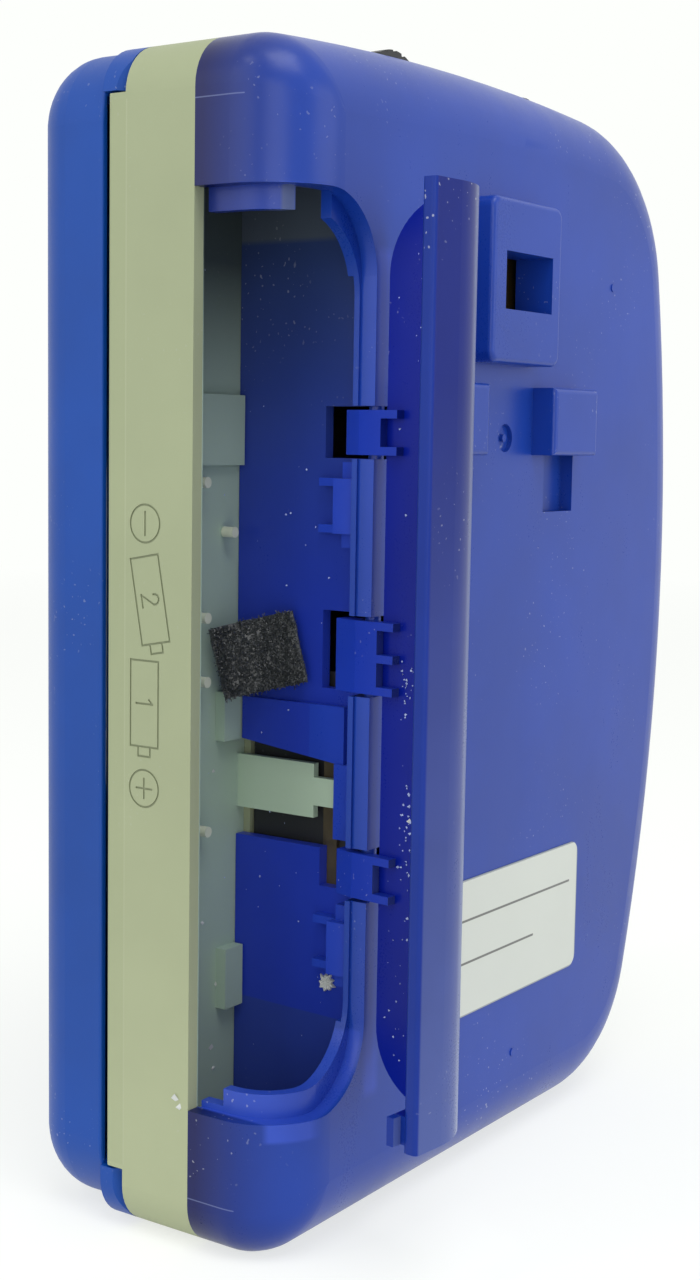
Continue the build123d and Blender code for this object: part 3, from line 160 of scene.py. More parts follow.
# Nodes that materials, floor and backdrop share
def joined(tree, operation, first, second):
    """A maths node on two values, each a number or another node's output."""
    node = tree.nodes.new("ShaderNodeMath")
    node.operation = operation
    for value, socket in ((first, node.inputs[0]), (second, node.inputs[1])):
        if isinstance(value, (int, float)):
            socket.default_value = value
        else:
            tree.links.new(value, socket)
    return node.outputs[0]


def spread(tree, value, low, high, start, end):
    """A value mapped from one range to another."""
    node = tree.nodes.new("ShaderNodeMapRange")
    for socket, number in (("From Min", low), ("From Max", high), ("To Min", start),
                           ("To Max", end)):
        node.inputs[socket].default_value = number
    tree.links.new(value, node.inputs["Value"])
    return node.outputs["Result"]


# Materials
class Shader:
    """A node material with one Principled shader, and short calls that add nodes to it."""

    def __init__(self, name, colour, roughness, **sockets):
        self.material = bpy.data.materials.new(name)
        self.material.use_nodes = True
        self.tree = self.material.node_tree
        self.main = self.tree.nodes["Principled BSDF"]
        self.place = self.add("ShaderNodeTexCoord").outputs["Object"]
        self.axes = self.add("ShaderNodeSeparateXYZ")
        self.link(self.place, self.axes.inputs[0])
        self.main.inputs["Base Color"].default_value = (*colour, 1)
        self.main.inputs["Roughness"].default_value = roughness
        for socket, value in sockets.items():
            self.main.inputs[socket.replace("_", " ")].default_value = value

    def add(self, kind, **inputs):
        node = self.tree.nodes.new(kind)
        for key, value in inputs.items():
            node.inputs[key.replace("_", " ")].default_value = value
        return node

    def link(self, source, target):
        self.tree.links.new(source, target)

    def noise(self, scale, detail, rough=0.5, stretch=None):
        node = self.add("ShaderNodeTexNoise", Scale=scale, Detail=detail, Roughness=rough)
        place = self.place
        if stretch:
            mapping = self.add("ShaderNodeMapping", Scale=stretch)
            self.link(place, mapping.inputs["Vector"])
            place = mapping.outputs["Vector"]
        self.link(place, node.inputs["Vector"])
        return node.outputs["Fac"]

    def ramp(self, value, low, high, start=0.0, end=1.0):
        return spread(self.tree, value, low, high, start, end)

    def math(self, operation, first, second):
        return joined(self.tree, operation, first, second)

    def mix(self, factor, first, second):
        node = self.tree.nodes.new("ShaderNodeMix")
        node.data_type = "RGBA"
        for value, name in ((factor, "Factor"), (first, "A"), (second, "B")):
            socket = [s for s in node.inputs if s.name == name and s.enabled][0]
            if isinstance(value, tuple):
                socket.default_value = (*value, 1)
            elif isinstance(value, (int, float)):
                socket.default_value = value
            else:
                self.link(value, socket)
        return [s for s in node.outputs if s.enabled][0]

    def between(self, axis, low, high, soft):
        """One where a coordinate lies between two values in millimetres, else nought."""
        value = self.axes.outputs["XYZ".index(axis)]
        rise = self.ramp(value, (low - soft) * MM, low * MM)
        fall = self.ramp(value, high * MM, (high + soft) * MM, 1.0, 0.0)
        return self.math("MULTIPLY", rise, fall)

    def within(self, soft, **spans):
        """One inside a box given by spans along some of the axes."""
        parts = [self.between(axis, *span, soft) for axis, span in spans.items()]
        result = parts[0]
        for part in parts[1:]:
            result = self.math("MULTIPLY", result, part)
        return result

    def facing(self, direction, low, high):
        """One where the surface faces a direction of the part's own frame, else nought."""
        node = self.add("ShaderNodeVectorMath")
        node.operation = "DOT_PRODUCT"
        self.link(self.add("ShaderNodeTexCoord").outputs["Normal"], node.inputs[0])
        node.inputs[1].default_value = direction
        return self.ramp(node.outputs["Value"], low, high)

    def any_of(self, masks):
        result = masks[0]
        for mask in masks[1:]:
            result = self.math("MAXIMUM", result, mask)
        return result

    def colour(self, source):
        self.link(source, self.main.inputs["Base Color"])

    def roughness(self, source):
        self.link(source, self.main.inputs["Roughness"])

    def bump(self, height, strength, distance):
        node = self.add("ShaderNodeBump", Strength=strength, Distance=distance)
        self.link(height, node.inputs["Height"])
        previous = self.main.inputs["Normal"].links
        if previous:
            self.link(previous[0].from_socket, node.inputs["Normal"])
        self.link(node.outputs["Normal"], self.main.inputs["Normal"])


def plastic(name, colour, roughness, dust, grain=0.10, vary=0.10, spec=0.5, zones=None):
    """Moulded plastic: fine grain, faint mottling, a few specks of dust."""
    s = Shader(name, colour, roughness, Specular_IOR_Level=spec)
    fine = s.noise(FINE_GRAIN, 1.0)
    broad = s.noise(MOTTLE, 4.0, 0.6)
    smear = s.noise(SMEAR, 5.0, 0.7, stretch=(1.0, 1.0, 0.35))
    base = zones(s) if zones else colour
    shade = s.mix(s.ramp(broad, 0.35, 0.65), (1 - vary,) * 3, (1 + vary,) * 3)
    tint = s.tree.nodes.new("ShaderNodeVectorMath")
    tint.operation = "MULTIPLY"
    if isinstance(base, tuple):
        tint.inputs[0].default_value = base
    else:
        s.link(base, tint.inputs[0])
    s.link(shade, tint.inputs[1])
    speck = s.ramp(s.noise(SPECKS, 0.0), 0.775, 0.80)
    patch = s.ramp(s.noise(SPECK_PATCHES, 2.0), 0.50, 0.72)
    specks = s.math("MULTIPLY", s.math("MULTIPLY", speck, patch), dust)
    s.colour(s.mix(specks, tint.outputs[0], DUST))
    sheen = s.math("ADD", s.math("MULTIPLY", smear, 0.7), s.math("MULTIPLY", fine, 0.3))
    s.roughness(s.ramp(sheen, 0.3, 0.7, roughness - 0.05, roughness + 0.07))
    s.bump(fine, grain, 0.00003)
    return s.material


def metal(name, colour, roughness, brushed=None):
    """Metal with fine scratches, brushed along one direction where it is given."""
    s = Shader(name, colour, roughness, Metallic=1.0)
    lines = s.noise(BRUSHING, 3.0, 0.6, stretch=brushed)
    s.roughness(s.ramp(lines, 0.3, 0.7, roughness - 0.08, roughness + 0.12))
    darker = tuple(c * 0.8 for c in colour)
    s.colour(s.mix(s.ramp(s.noise(TARNISH, 3.0), 0.4, 0.7), colour, darker))
    s.bump(lines, 0.1, 0.00003)
    return s.material


def rubber(name, colour, roughness):
    """Dull rubber with a fine ground surface."""
    s = Shader(name, colour, roughness)
    fine = s.noise(RUBBER_GRAIN, 2.0)
    paler = tuple(c + 0.02 for c in colour)
    s.colour(s.mix(s.ramp(s.noise(RUBBER_MOTTLE, 3.0), 0.35, 0.7), colour, paler))
    s.bump(fine, 0.3, 0.00005)
    return s.material


def cover_zones(s):
    """Deeper blue in the battery chamber, dark at its upper end as painted shade, brighter on the
    door's seat as painted light.
    """
    inside = s.within(0.2, **COVER_CHAMBER)
    fittings = s.within(0.05, **WALL_FITTINGS)
    # Painted shade deepening towards the chamber's upper end, and painted shadow in its head
    head = s.ramp(s.axes.outputs[2], 98.8 * MM, 99.4 * MM)
    upper = s.ramp(s.axes.outputs[2], 62.0 * MM, 98.0 * MM)
    # The wall is a little darker below a faint step that rises towards the band, as painted shade
    # of a shallow recess
    slope = s.math("ADD", s.axes.outputs[2], s.math("MULTIPLY", s.axes.outputs[1], 0.026))
    under = s.ramp(slope, 20.75 * MM, 20.9 * MM, 1.0, 0.0)
    deep = s.mix(upper, BLUE_DEEP, BLUE_PAINTED_SHADE)
    deep = s.mix(s.math("MULTIPLY", under, 0.45), deep, BLUE_PAINTED_SHADE)
    deep = s.mix(head, deep, BLUE_PAINTED_SHADOW)
    deep = s.mix(fittings, deep, BLUE_FITTING)
    # The hinge side is darker towards the band, with two faint mould lines
    side = s.ramp(s.axes.outputs[0], 34.0 * MM, 40.0 * MM)
    rise = s.ramp(s.axes.outputs[1], 15.5 * MM, 5.8 * MM)
    body = s.mix(s.math("MULTIPLY", side, rise), BLUE_CASE, BLUE_EDGE)
    lines = s.any_of([s.within(0.02, X=(41.0, 43.0), Y=(4.0, 10.5), Z=(z - 0.05, z + 0.05))
                      for z in MOULD_LINES])
    body = s.mix(s.math("MULTIPLY", lines, 0.35), body, BLUE_MOULD_LINE)
    body = s.mix(inside, body, deep)
    # Painted light: the door's seat and the strip beside the hinge catch more light, painted into
    # their colour, and so does the lip at the chamber's head
    seat = s.any_of([s.within(0.4, **DOOR_SEAT), s.within(1.0, **HINGE_STRIP)])
    body = s.mix(s.math("MULTIPLY", s.within(0.1, **HEAD_LIP), 0.3), body, BLUE_PAINTED_LIGHT)
    return s.mix(seat, body, BLUE_PAINTED_LIGHT)


def band_zones(s):
    """Beige outside; grey-green inside the battery chamber as a painted reflection of the blue
    cover, with painted light on the tongue and painted shade at the upper end; painted shade in
    the engraved signs, a painted highlight along the step.
    """
    chamber = s.within(0.05, **BAND_CHAMBER)
    # Inside the chamber a painted reflection of the blue cover, turning to painted shade at the
    # upper end, with painted light on the tongue
    up = s.ramp(s.axes.outputs[2], 84.0 * MM, 97.0 * MM)
    grey = s.mix(up, BEIGE_BLUE_REFLECTION, BEIGE_UPPER_SHADE)
    grey = s.mix(s.within(0.02, **TONGUE), grey, TONGUE_PAINTED_LIGHT)
    reach = 0.7
    pegs = s.any_of([s.within(0.05, X=(x - reach, x + reach), Y=(-2.2, -0.6),
                              Z=(z - reach, z + reach)) for x, z in PEGS])
    grey = s.mix(pegs, grey, GREY_PEG)
    grooves = s.within(0.01, **SIGN_GROOVES)
    step = s.within(0.04, **BAND_STEP)
    strip = s.within(0.1, **BAND_STRIP)
    body = s.mix(s.ramp(s.axes.outputs[2], 60.0 * MM, 15.0 * MM), BEIGE, BEIGE_LOW)
    body = s.mix(s.math("MULTIPLY", strip, 0.25), body, BEIGE_STRIP)
    # A painted highlight along the step and painted shade in the engraved signs
    body = s.mix(s.math("MULTIPLY", step, 0.18), body, BEIGE_STEP_HIGHLIGHT)
    body = s.mix(s.math("MULTIPLY", grooves, 0.55), body, BEIGE_GROOVE_SHADE)
    return s.mix(chamber, body, grey)


def door_zones(s):
    """Deep blue on the inner faces, greyer on the outer ones with a painted highlight as a pale
    rim and a painted reflection of the floor low on the leg, bright hooks.
    """
    outer = s.facing(DOOR_OUTWARD, 0.25, 0.55)
    # From here on the axes are those of the shut door
    turned = Matrix.Rotation(-DOOR_TURN, 3, "Z") @ Vector((*DOOR_AXIS, 0)) * MM
    shut = s.add("ShaderNodeMapping", Rotation=(0, 0, -DOOR_TURN),
                 Location=(DOOR_AXIS[0] * MM - turned.x, DOOR_AXIS[1] * MM - turned.y, 0))
    s.link(s.place, shut.inputs["Vector"])
    s.link(shut.outputs["Vector"], s.axes.inputs[0])
    hooks = s.within(0.05, **DOOR_HOOKS)
    edge = s.ramp(s.axes.outputs[1], 5.6 * MM, 5.4 * MM)
    # Low on the leg a painted reflection of the white floor
    low = s.ramp(s.axes.outputs[2], 85.0 * MM, 15.0 * MM)
    inner = s.mix(hooks, BLUE_LEAF, BLUE_HOOK)
    inner = s.mix(edge, inner, BLUE_LEAF_EDGE)
    # A painted highlight along the rim of the leg
    rim = s.math("MULTIPLY", s.facing(DOOR_RIM_HIGHLIGHT, 0.93, 1.0), 0.45)
    leg = s.mix(rim, s.mix(low, BLUE_LEG, BLUE_LEG_FLOOR_REFLECTION), BLUE_RIM_HIGHLIGHT)
    return s.mix(outer, inner, leg)


def label_zones(s):
    """A blank plate: two rulings and a thin dark edge."""
    rules = s.any_of([s.within(0.04, **ruling) for ruling in PLATE_RULINGS])
    inner = s.within(0.03, **PLATE_INNER)
    body = s.mix(s.math("MULTIPLY", rules, 0.85), PLATE_WHITE, INK)
    return s.mix(inner, PLATE_EDGE, body)


case_blue = plastic("case_blue", BLUE_CASE, 0.30, dust=0.5, spec=0.36, zones=cover_zones)
lid_blue = plastic("lid_blue", BLUE_LID, 0.40, dust=0.3, spec=0.35)
door_blue = plastic("door_blue", BLUE_LEAF, 0.30, dust=0.8, spec=0.2, zones=door_zones)
band_beige = plastic("band_beige", BEIGE, 0.55, dust=0.1, vary=0.04, spec=0.35, zones=band_zones)
key_grey = plastic("key_grey", (0.30, 0.31, 0.33), 0.38, dust=0.1)
white_part = plastic("white_part", (0.74, 0.73, 0.68), 0.45, dust=0.0, vary=0.04)
black_part = plastic("black_part", (0.018, 0.018, 0.020), 0.45, dust=0.15)
board_brown = plastic("board_brown", (0.17, 0.115, 0.035), 0.5, dust=0.0, vary=0.2)
label_white = plastic("label_white", PLATE_WHITE, 0.35, dust=0.0, grain=0.04, vary=0.02,
                      zones=label_zones)
zinc = metal("zinc", (0.56, 0.56, 0.57), 0.34, brushed=(1.0, 1.0, 0.05))
nickel = metal("nickel", (0.66, 0.65, 0.63), 0.22)
brass = metal("brass", (0.72, 0.50, 0.20), 0.30)
# Brass painted dark as painted shade, for the strip that sits in the dark slots behind the wall
shaded_brass = metal("shaded_brass", (0.15, 0.12, 0.08), 0.50)
belt_black = rubber("belt_black", (0.018, 0.018, 0.018), 0.7)
pile_black = rubber("pile_black", (0.042, 0.047, 0.051), 0.28)
key_mark = plastic("key_mark", (0.72, 0.73, 0.72), 0.45, dust=0.0, vary=0.03)
debris_pale = plastic("debris_pale", (0.60, 0.62, 0.60), 0.6, dust=0.0, vary=0.2)
dust_blue = plastic("dust_blue", (0.42, 0.50, 0.78), 0.6, dust=0.0, vary=0.3)

finishes = {
    case_blue: ["rear_cover"],
    lid_blue: ["cassette_lid"],
    door_blue: ["battery_door"],
    band_beige: ["chassis"],
    key_grey: ["rewind_key", "forward_key", "play_key", "stop_key"],
    white_part: ["take_up_spindle", "supply_spindle", "take_up_gear", "supply_gear", "idler_gear"],
    black_part: ["board_parts", "volume_body", "volume_wheel", "headphone_jack", "lid_catch"],
    board_brown: ["circuit_board"],
    label_white: ["rating_plate"],
    zinc: ["lid_springs", "key_bracket", "reel_plate", "head_slide", "pinch_arm", "motor"],
    nickel: ["plus_contact", "minus_contact", "capstan", "case_screws", "play_head"],
    brass: ["flywheel", "capstan_bearing", "motor_pulley"],
    shaded_brass: ["bus_strip"],
    belt_black: ["drive_belt", "pinch_roller"],
}


def paint(node, material):
    """Give a CAD node one material in all of its slots."""
    mesh = nodes[node].data
    if not mesh.materials:
        mesh.materials.append(material)
    for place in range(len(mesh.materials)):
        mesh.materials[place] = material


for material, names in finishes.items():
    for name in names:
        paint(name, material)

glass = Shader("window_clear", (0.80, 0.84, 0.88), 0.08, Transmission_Weight=1.0, IOR=1.49)
glass.bump(glass.noise(WINDOW_WAVES, 2.0), 0.02, 0.00005)
paint("lid_window", glass.material)


# Pieces that the CAD model shows only in a simple form
def piece(name, points, faces, material, body):
    """A mesh object made from points in millimetres, riding on a CAD body."""
    mesh = bpy.data.meshes.new(name)
    mesh.from_pydata([tuple(value * MM for value in point) for point in points], [], faces)
    mesh.materials.append(material)
    mesh.update()
    made = bpy.data.objects.new(name, mesh)
    scene.collection.objects.link(made)
    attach(made, body)
    return made


def along_path(path, distance):
    """The point and the right-hand normal at a distance along a line of points."""
    for start, end in zip(path, path[1:]):
        length = hypot(end[0] - start[0], end[1] - start[1])
        if distance <= length or end == path[-1]:
            share = distance / length
            run, climb = end[0] - start[0], end[1] - start[1]
            point = (start[0] + share * run, start[1] + share * climb)
            return point, (climb / length, -(run / length))
        distance -= length


def pile_piece():
    """The pile pad: a bent, slightly swollen strip covered with stiff looped fibres."""
    rng = Random(7)
    path = [(31.9, -1.75), (30.4, -0.9), (28.9, 0.75), (27.6, 2.6), (26.75, 4.6), (26.45, 6.4),
            (26.35, 8.0), (26.3, 9.5)]
    middle_s, middle_z = 5.85, 57.6
    half_s, half_z = 4.55, 3.7
    lean, shear = -0.254, 0.487
    wide, high = 30, 26
    thick, sheet_depth = 0.5, 0.35
    fibres, rings = 2600, 6
    reaches, rises, girths = (0.15, 0.55), (0.15, 0.50), (0.030, 0.062)
    bends = (0.65, 1.0)

    def surface(u, v, lift):
        """A point of the pad, from its own axes and a height above its middle sheet."""
        rough = 0.16 * noise(Vector((u * 5.1, v * 5.1, 3.0)))
        su = u * half_s * (1 + 0.03 * noise(Vector((1.7, v * 4.0, 0.0))))
        sv = v * half_z * (1 + 0.03 * noise(Vector((u * 4.0, 8.1, 0.0))))
        s = middle_s + su * cos(lean) + sv * sin(lean)
        z = middle_z + su * sin(lean + shear) + sv * cos(lean)
        (x, y), (nx, ny) = along_path(path, max(0.0, s))
        crown = (1 - 0.75 * max(abs(u), abs(v)) ** 6)
        out = lift * crown + (rough if lift > 0 else 0)
        return Vector((x + nx * out, y + ny * out, z)), Vector((nx, ny, 0))

    points, faces = [], []
    for lift in (thick, -sheet_depth):
        for j in range(high + 1):
            for i in range(wide + 1):
                points.append(surface(2 * i / wide - 1, 2 * j / high - 1, lift)[0])
    row = wide + 1
    layer = row * (high + 1)
    for j in range(high):
        for i in range(wide):
            a = j * row + i
            faces.append((a, a + 1, a + 1 + row, a + row))
            faces.append((layer + a, layer + a + row, layer + a + 1 + row, layer + a + 1))
    rim = ([(0, i) for i in range(wide)] + [(j, wide) for j in range(high)] +
           [(high, i) for i in range(wide, 0, -1)] + [(j, 0) for j in range(high, 0, -1)])
    for here, there in zip(rim, rim[1:] + rim[:1]):
        a = here[0] * row + here[1]
        b = there[0] * row + there[1]
        faces.append((b, a, layer + a, layer + b))
    for _ in range(fibres):
        u, v = rng.uniform(-1, 1), rng.uniform(-1, 1)
        root, normal = surface(u, v, thick)
        turn = rng.uniform(0, 2 * pi)
        along = Vector((0, 0, 1)) * sin(turn) + normal.cross(Vector((0, 0, 1))) * cos(turn)
        edge = max(0.0, max(abs(u), abs(v)) - 0.85) * 3
        up = (normal + Vector((-normal.y, normal.x, 0)) * (-u * edge) + Vector((0, 0, v * edge)) +
              along * rng.gauss(0, 0.35)).normalized()
        reach = rng.uniform(*reaches)
        rise = rng.uniform(*rises)
        bend = rng.uniform(*bends) * pi
        girth = rng.uniform(*girths)
        side = along.cross(up).normalized()
        base = len(points)
        for ring in range(rings):
            angle = bend * ring / (rings - 1)
            centre = (root - up * 0.08 + along * (reach * (1 - cos(angle)) / 2) +
                      up * (rise * sin(angle)) + side * rng.gauss(0, 0.025))
            out = along * -cos(angle) + up * sin(angle)
            for corner in range(3):
                around = corner * 2 * pi / 3
                points.append(centre + (side * cos(around) + out * sin(around)) * girth)
        for ring in range(rings - 1):
            here = base + 3 * ring
            for corner in range(3):
                after = (corner + 1) % 3
                faces.append((here + corner, here + after, here + 3 + after, here + 3 + corner))
        faces.append((base + 2, base + 1, base))
        last = base + 3 * (rings - 1)
        faces.append((last, last + 1, last + 2))
    pad = piece("pile", points, faces, pile_black, "body")
    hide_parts("pile_pad")


def chips(name, body, material, spots):
    """Small flakes of dried dirt, each a crumpled eight-sided grain on a surface."""
    rng = Random(11)
    points, faces = [], []
    for spot, flat, size in spots:
        base = len(points)
        for axis in range(3):
            for sign in (1, -1):
                offset = Vector((0, 0, 0))
                offset[axis] = sign * size * rng.uniform(0.6, 1.4)
                if axis == flat:
                    offset[axis] *= 0.45
                points.append(Vector(spot) + offset + Vector([rng.gauss(0, size * 0.2)
                                                              for _ in range(3)]))
        for x in (0, 1):
            for y in (2, 3):
                for z in (4, 5):
                    face = (base + x, base + y, base + z)
                    faces.append(face if (x + y + z) % 2 == 0 else face[::-1])
    piece(name, points, faces, material, body)


def prism(outline, base, top, across, up, origin):
    """Points and faces of a flat prism on a plane given by two directions."""
    normal = Vector(across).cross(Vector(up))
    points = [Vector(origin) + Vector(across) * u + Vector(up) * v + normal * level
              for level in (base, top) for u, v in outline]
    count = len(outline)
    faces = [tuple(range(count))[::-1], tuple(range(count, 2 * count))]
    faces += [(i, (i + 1) % count, count + (i + 1) % count, count + i) for i in range(count)]
    return points, faces


pile_piece()

chip_rng = Random(5)
grains = [((BAND_FACE + 0.05, 3.4, 15.3), 0, 0.42), ((BAND_FACE, 3.9, 14.6), 0, 0.30)]
grains += [((x, GRAIN_FLOOR, z), 1, size) for x, z, size in
           ((29.3, 15.9, 0.40), (29.0, 13.6, 0.34), (28.7, 22.5, 0.22),
            (29.4, 45.2, 0.25), (33.2, 31.0, 0.22), (31.0, 29.6, 0.20))]
dust = [((WALL_FACE, y, z), 0, size) for y, z, size in
        ((3.8, 71.8, 0.13), (4.4, 72.0, 0.10), (7.5, 70.7, 0.13), (9.2, 65.7, 0.15),
         (6.3, 76.4, 0.10), (4.0, 64.6, 0.12), (1.0, 34.0, 0.12), (2.2, 41.0, 0.10),
         (6.0, 30.0, 0.12))]
dust += [((CLIP_FACE, 5.0, 52.0), 0, 0.14), ((CLIP_FACE, 1.6, 49.4), 0, 0.12)]
dust += [((WALL_FACE - 0.05 + chip_rng.uniform(0, 0.05), chip_rng.uniform(-1.5, 9.0),
           chip_rng.uniform(10, 84)), 0, chip_rng.uniform(0.04, 0.07)) for _ in range(26)]
dust += [((chip_rng.uniform(26, 40), DUST_FLOOR, chip_rng.uniform(10, 97)), 1,
          chip_rng.uniform(0.05, 0.10)) for _ in range(26)]
chips("dirt_in_chamber", "body", debris_pale, grains)
chips("dust_in_chamber", "body", dust_blue, dust)


def star_flake():
    """A crumpled star-shaped flake of dried paste on the chamber wall."""
    rng = Random(3)
    count = 18
    tip_reach, dent_reach = 1.05, 0.66
    middle = Vector((WALL_FACE + 0.02, 9.75, 24.25))
    rim = []
    for place in range(count):
        angle = place * 2 * pi / count
        reach = (tip_reach if place % 2 else dent_reach) * rng.uniform(0.85, 1.15)
        rim.append((reach * cos(angle), reach * sin(angle)))
    points = [middle + Vector((-0.10, y, z)) for y, z in rim]
    points += [middle + Vector((rng.uniform(0.10, 0.30), 0.92 * y, 0.92 * z)) for y, z in rim]
    points += [middle + Vector((rng.uniform(0.05, 0.32), 0.45 * y, 0.45 * z)) for y, z in rim]
    points.append(middle + Vector((0.16, 0.0, 0.0)))
    faces = [tuple(range(count))[::-1]]
    for ring in (0, count):
        faces += [(ring + i, ring + (i + 1) % count, ring + count + (i + 1) % count,
                   ring + count + i) for i in range(count)]
    faces += [(2 * count + i, 2 * count + (i + 1) % count, 3 * count) for i in range(count)]
    piece("flake_on_wall", points, faces, debris_pale, "body")


star_flake()


def door_spot(distance, z):
    """A point on the inner face of the open door, by its distance from the hinge line."""
    lift = 0.05
    shut = (distance, BACK_FACE - DOOR_WALL - DOOR_AXIS[1] - lift)
    return (DOOR_AXIS[0] + shut[0] * cos(DOOR_TURN) - shut[1] * sin(DOOR_TURN),
            DOOR_AXIS[1] + shut[0] * sin(DOOR_TURN) + shut[1] * cos(DOOR_TURN), z)


door_grains = [(door_spot(chip_rng.uniform(4.0, 7.5), z), 0, size) for z, size in
               ((53.9, 0.30), (43.0, 0.22), (31.0, 0.20), (66.0, 0.14))]
door_dust = [(door_spot(5.6 + chip_rng.gauss(0, 0.9), z + chip_rng.gauss(0, 0.7)), 0,
              chip_rng.uniform(0.07, 0.17))
             for z, count in ((58.0, 5), (56.0, 9), (54.8, 10), (53.0, 5), (45.2, 7), (43.6, 6),
                              (42.0, 8), (40.4, 8), (38.8, 7), (37.0, 6), (33.5, 5), (30.6, 4))
             for _ in range(count)]
door_dust += [(door_spot(chip_rng.uniform(3.0, 9.0), chip_rng.uniform(18, 99)), 0,
               chip_rng.uniform(0.04, 0.13)) for _ in range(60)]
chips("dirt_on_door", "door", debris_pale, door_grains)
chips("dust_on_door", "door", dust_blue, door_dust)


def thin_box(name, low, high, material, body):
    """A thin sheet between two corners."""
    points = [(x, y, z) for x in (low[0], high[0]) for y in (low[1], high[1])
              for z in (low[2], high[2])]
    faces = [(0, 1, 3, 2), (4, 6, 7, 5), (0, 4, 5, 1), (2, 3, 7, 6), (0, 2, 6, 4), (1, 5, 7, 3)]
    piece(name, points, faces, material, body)


# A black sheet behind the contact strip, seen through the wall's cut-outs: a painted shadow that
# keeps the space behind dark
thin_box("shadow_sheet", (23.58, -1.3, 22.0), (23.68, 12.4, 56.0), black_part, "body")

# Plain symbols on the keys, each sunk into the key and a little proud of it
SYMBOL_SUNK = -0.12
SYMBOL_RISE = 0.06
SYMBOL_INSET = 0.02
KEY_MIDDLE = -0.5
triangle = [(-0.9, -1.0), (-0.9, 1.0), (0.95, 0.0)]
bar = [(-0.85, -0.85), (0.85, -0.85), (0.85, 0.85), (-0.85, 0.85)]
symbols = {
    "rewind_key": ("rewind", [(-0.9, triangle, -1), (0.9, triangle, -1)]),
    "forward_key": ("forward", [(-0.9, triangle, 1), (0.9, triangle, 1)]),
    "play_key": ("play", [(0, triangle, 1)]),
    "stop_key": ("stop", [(0, bar, 1)]),
}
for key, (body, marks) in symbols.items():
    low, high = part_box(key)
    points, faces = [], []
    middle = (low[2] + high[2]) / 2 / MM
    for shift, outline, way in marks:
        drawn = [(u * way + shift, v) for u, v in outline]
        if way < 0:
            drawn = drawn[::-1]
        made, sides = prism(drawn, SYMBOL_SUNK, SYMBOL_RISE, (0, 0, 1), (0, 1, 0),
                            (low[0] / MM + SYMBOL_INSET, KEY_MIDDLE, middle))
        faces += [tuple(corner + len(points) for corner in side) for side in sides]
        points += made
    piece(key + "_symbol", points, faces, key_mark, body)

# Floor and surroundings
floor_material = bpy.data.materials.new("floor_white")
floor_material.use_nodes = True
tree = floor_material.node_tree
floor_shader = tree.nodes["Principled BSDF"]
floor_shader.inputs["Roughness"].default_value = 0.9
floor_shader.inputs["Specular IOR Level"].default_value = 0.0


def seen_ray(tree):
    """One for camera, glossy and transmission rays, nought for the rays that light the part."""
    path = tree.nodes.new("ShaderNodeLightPath")
    return joined(tree, "MINIMUM", 1.0, joined(
        tree, "ADD", path.outputs["Is Camera Ray"], joined(
            tree, "ADD", path.outputs["Is Glossy Ray"], path.outputs["Is Transmission Ray"])))


seen = seen_ray(tree)
reach = tree.nodes.new("ShaderNodeVectorMath")
reach.operation = "LENGTH"
tree.links.new(tree.nodes.new("ShaderNodeTexCoord").outputs["Object"], reach.inputs[0])
# Far from the part the floor fades into the backdrop
far = spread(tree, reach.outputs["Value"], FADE_FROM, FADE_TO, 0.0, 1.0)
near_tone = tree.nodes.new("ShaderNodeMix")
near_tone.data_type = "RGBA"
near_tone.inputs["A"].default_value = FLOOR_SEEN
near_tone.inputs["B"].default_value = BLACK
tree.links.new(far, near_tone.inputs["Factor"])
tone = tree.nodes.new("ShaderNodeMix")
tone.data_type = "RGBA"
tone.inputs["A"].default_value = FLOOR_LIT
tree.links.new(near_tone.outputs["Result"], tone.inputs["B"])
tree.links.new(seen, tone.inputs["Factor"])
tree.links.new(tone.outputs["Result"], floor_shader.inputs["Base Color"])
glow = tree.nodes.new("ShaderNodeEmission")
glow.inputs["Color"].default_value = SOFT_WHITE
strength = spread(tree, far, 0.0, 1.0, FLOOR_GLOW, BACKDROP_SEEN)
tree.links.new(joined(tree, "MULTIPLY", seen, strength), glow.inputs["Strength"])
both = tree.nodes.new("ShaderNodeAddShader")
tree.links.new(floor_shader.outputs[0], both.inputs[0])
tree.links.new(glow.outputs[0], both.inputs[1])
tree.links.new(both.outputs[0], tree.nodes["Material Output"].inputs["Surface"])

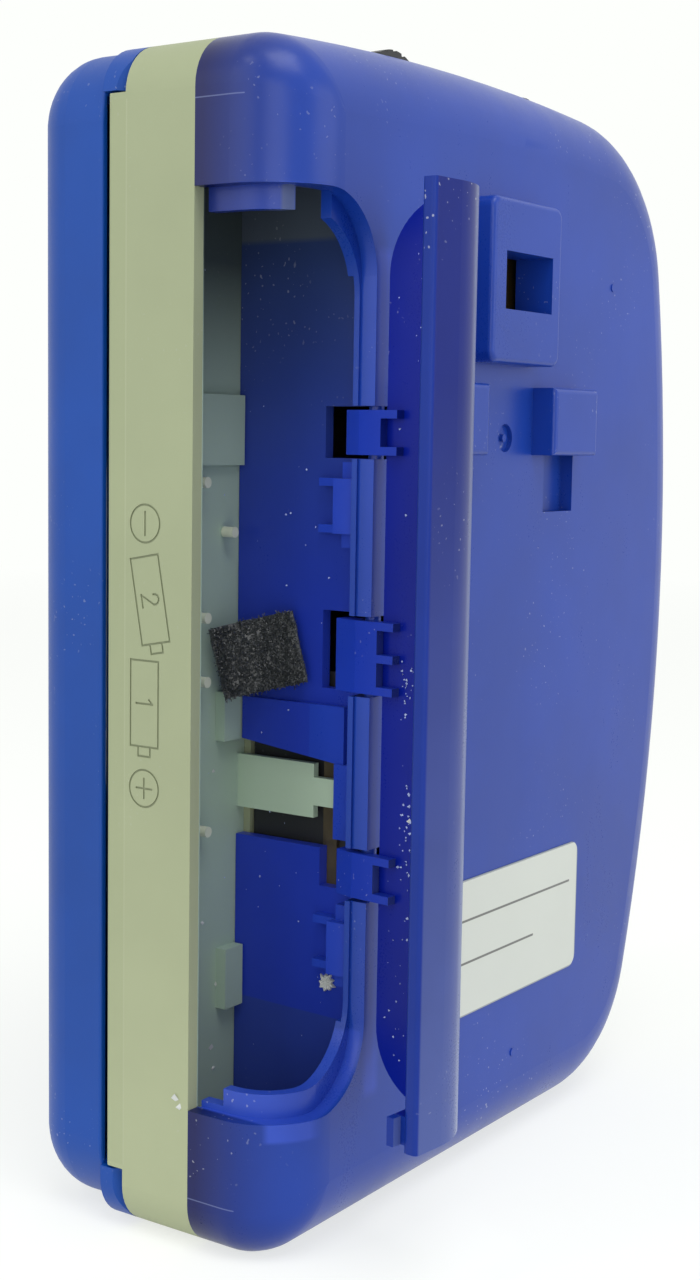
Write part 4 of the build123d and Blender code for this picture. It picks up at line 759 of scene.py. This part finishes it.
mesh = bpy.data.meshes.new("floor")
mesh.from_pydata([(x * FLOOR_HALF, y * FLOOR_HALF, 0)
                  for x, y in ((-1, -1), (1, -1), (1, 1), (-1, 1))], [], [(0, 1, 2, 3)])
mesh.materials.append(floor_material)
floor = bpy.data.objects.new("floor", mesh)
scene.collection.objects.link(floor)
floor.location.z = -FLOOR_DROP

world = bpy.data.worlds.new("soft_world")
scene.world = world
world.use_nodes = True
tree = world.node_tree
sky = tree.nodes["Background"]
sky.inputs["Color"].default_value = SOFT_WHITE
tree.links.new(spread(tree, seen_ray(tree), 0.0, 1.0, BACKDROP_LIT, BACKDROP_SEEN),
               sky.inputs["Strength"])


def softbox(name, at, towards, size, power):
    """A square area lamp at one point, aimed at another."""
    lamp = bpy.data.lights.new(name, "AREA")
    lamp.size = size
    lamp.energy = power
    lamp_object = bpy.data.objects.new(name, lamp)
    scene.collection.objects.link(lamp_object)
    lamp_object.location = at
    aim = Vector(towards) - Vector(at)
    lamp_object.rotation_euler = aim.to_track_quat("-Z", "Y").to_euler()


softbox("top_light", (0.25, 0.35, 0.85), (0, 0, 0.06), 0.5, 3.2)
softbox("side_light", (0.75, -0.25, 0.35), (0, 0, 0.06), 0.6, 1.2)
softbox("back_fill", (-0.2, 0.85, 0.25), (0, 0, 0.06), 0.6, 1.5)
softbox("front_fill", (0.62, 0.38, 0.16), (0, 0, 0.05), 0.35, 0.7)
softbox("corner_glint", (0.468, -0.122, 0.652), (0.041, 0.011, 0.113), 0.05, 0.25)

# Camera
camera_data = bpy.data.cameras.new("camera")
camera_data.sensor_fit = "VERTICAL"
camera_data.sensor_height = CAMERA_SENSOR
camera_data.lens = CAMERA_LENS
camera_data.clip_start = CAMERA_NEAR
camera = bpy.data.objects.new("camera", camera_data)
scene.collection.objects.link(camera)
right = Vector(CAMERA_RIGHT).normalized()
forward = Vector(CAMERA_FORWARD).normalized()
up = right.cross(forward)
camera.matrix_world = Matrix((
    (right.x, up.x, -forward.x, CAMERA_AT[0]),
    (right.y, up.y, -forward.y, CAMERA_AT[1]),
    (right.z, up.z, -forward.z, CAMERA_AT[2]),
    (0, 0, 0, 1)))
scene.camera = camera
scene.view_settings.view_transform = "Standard"
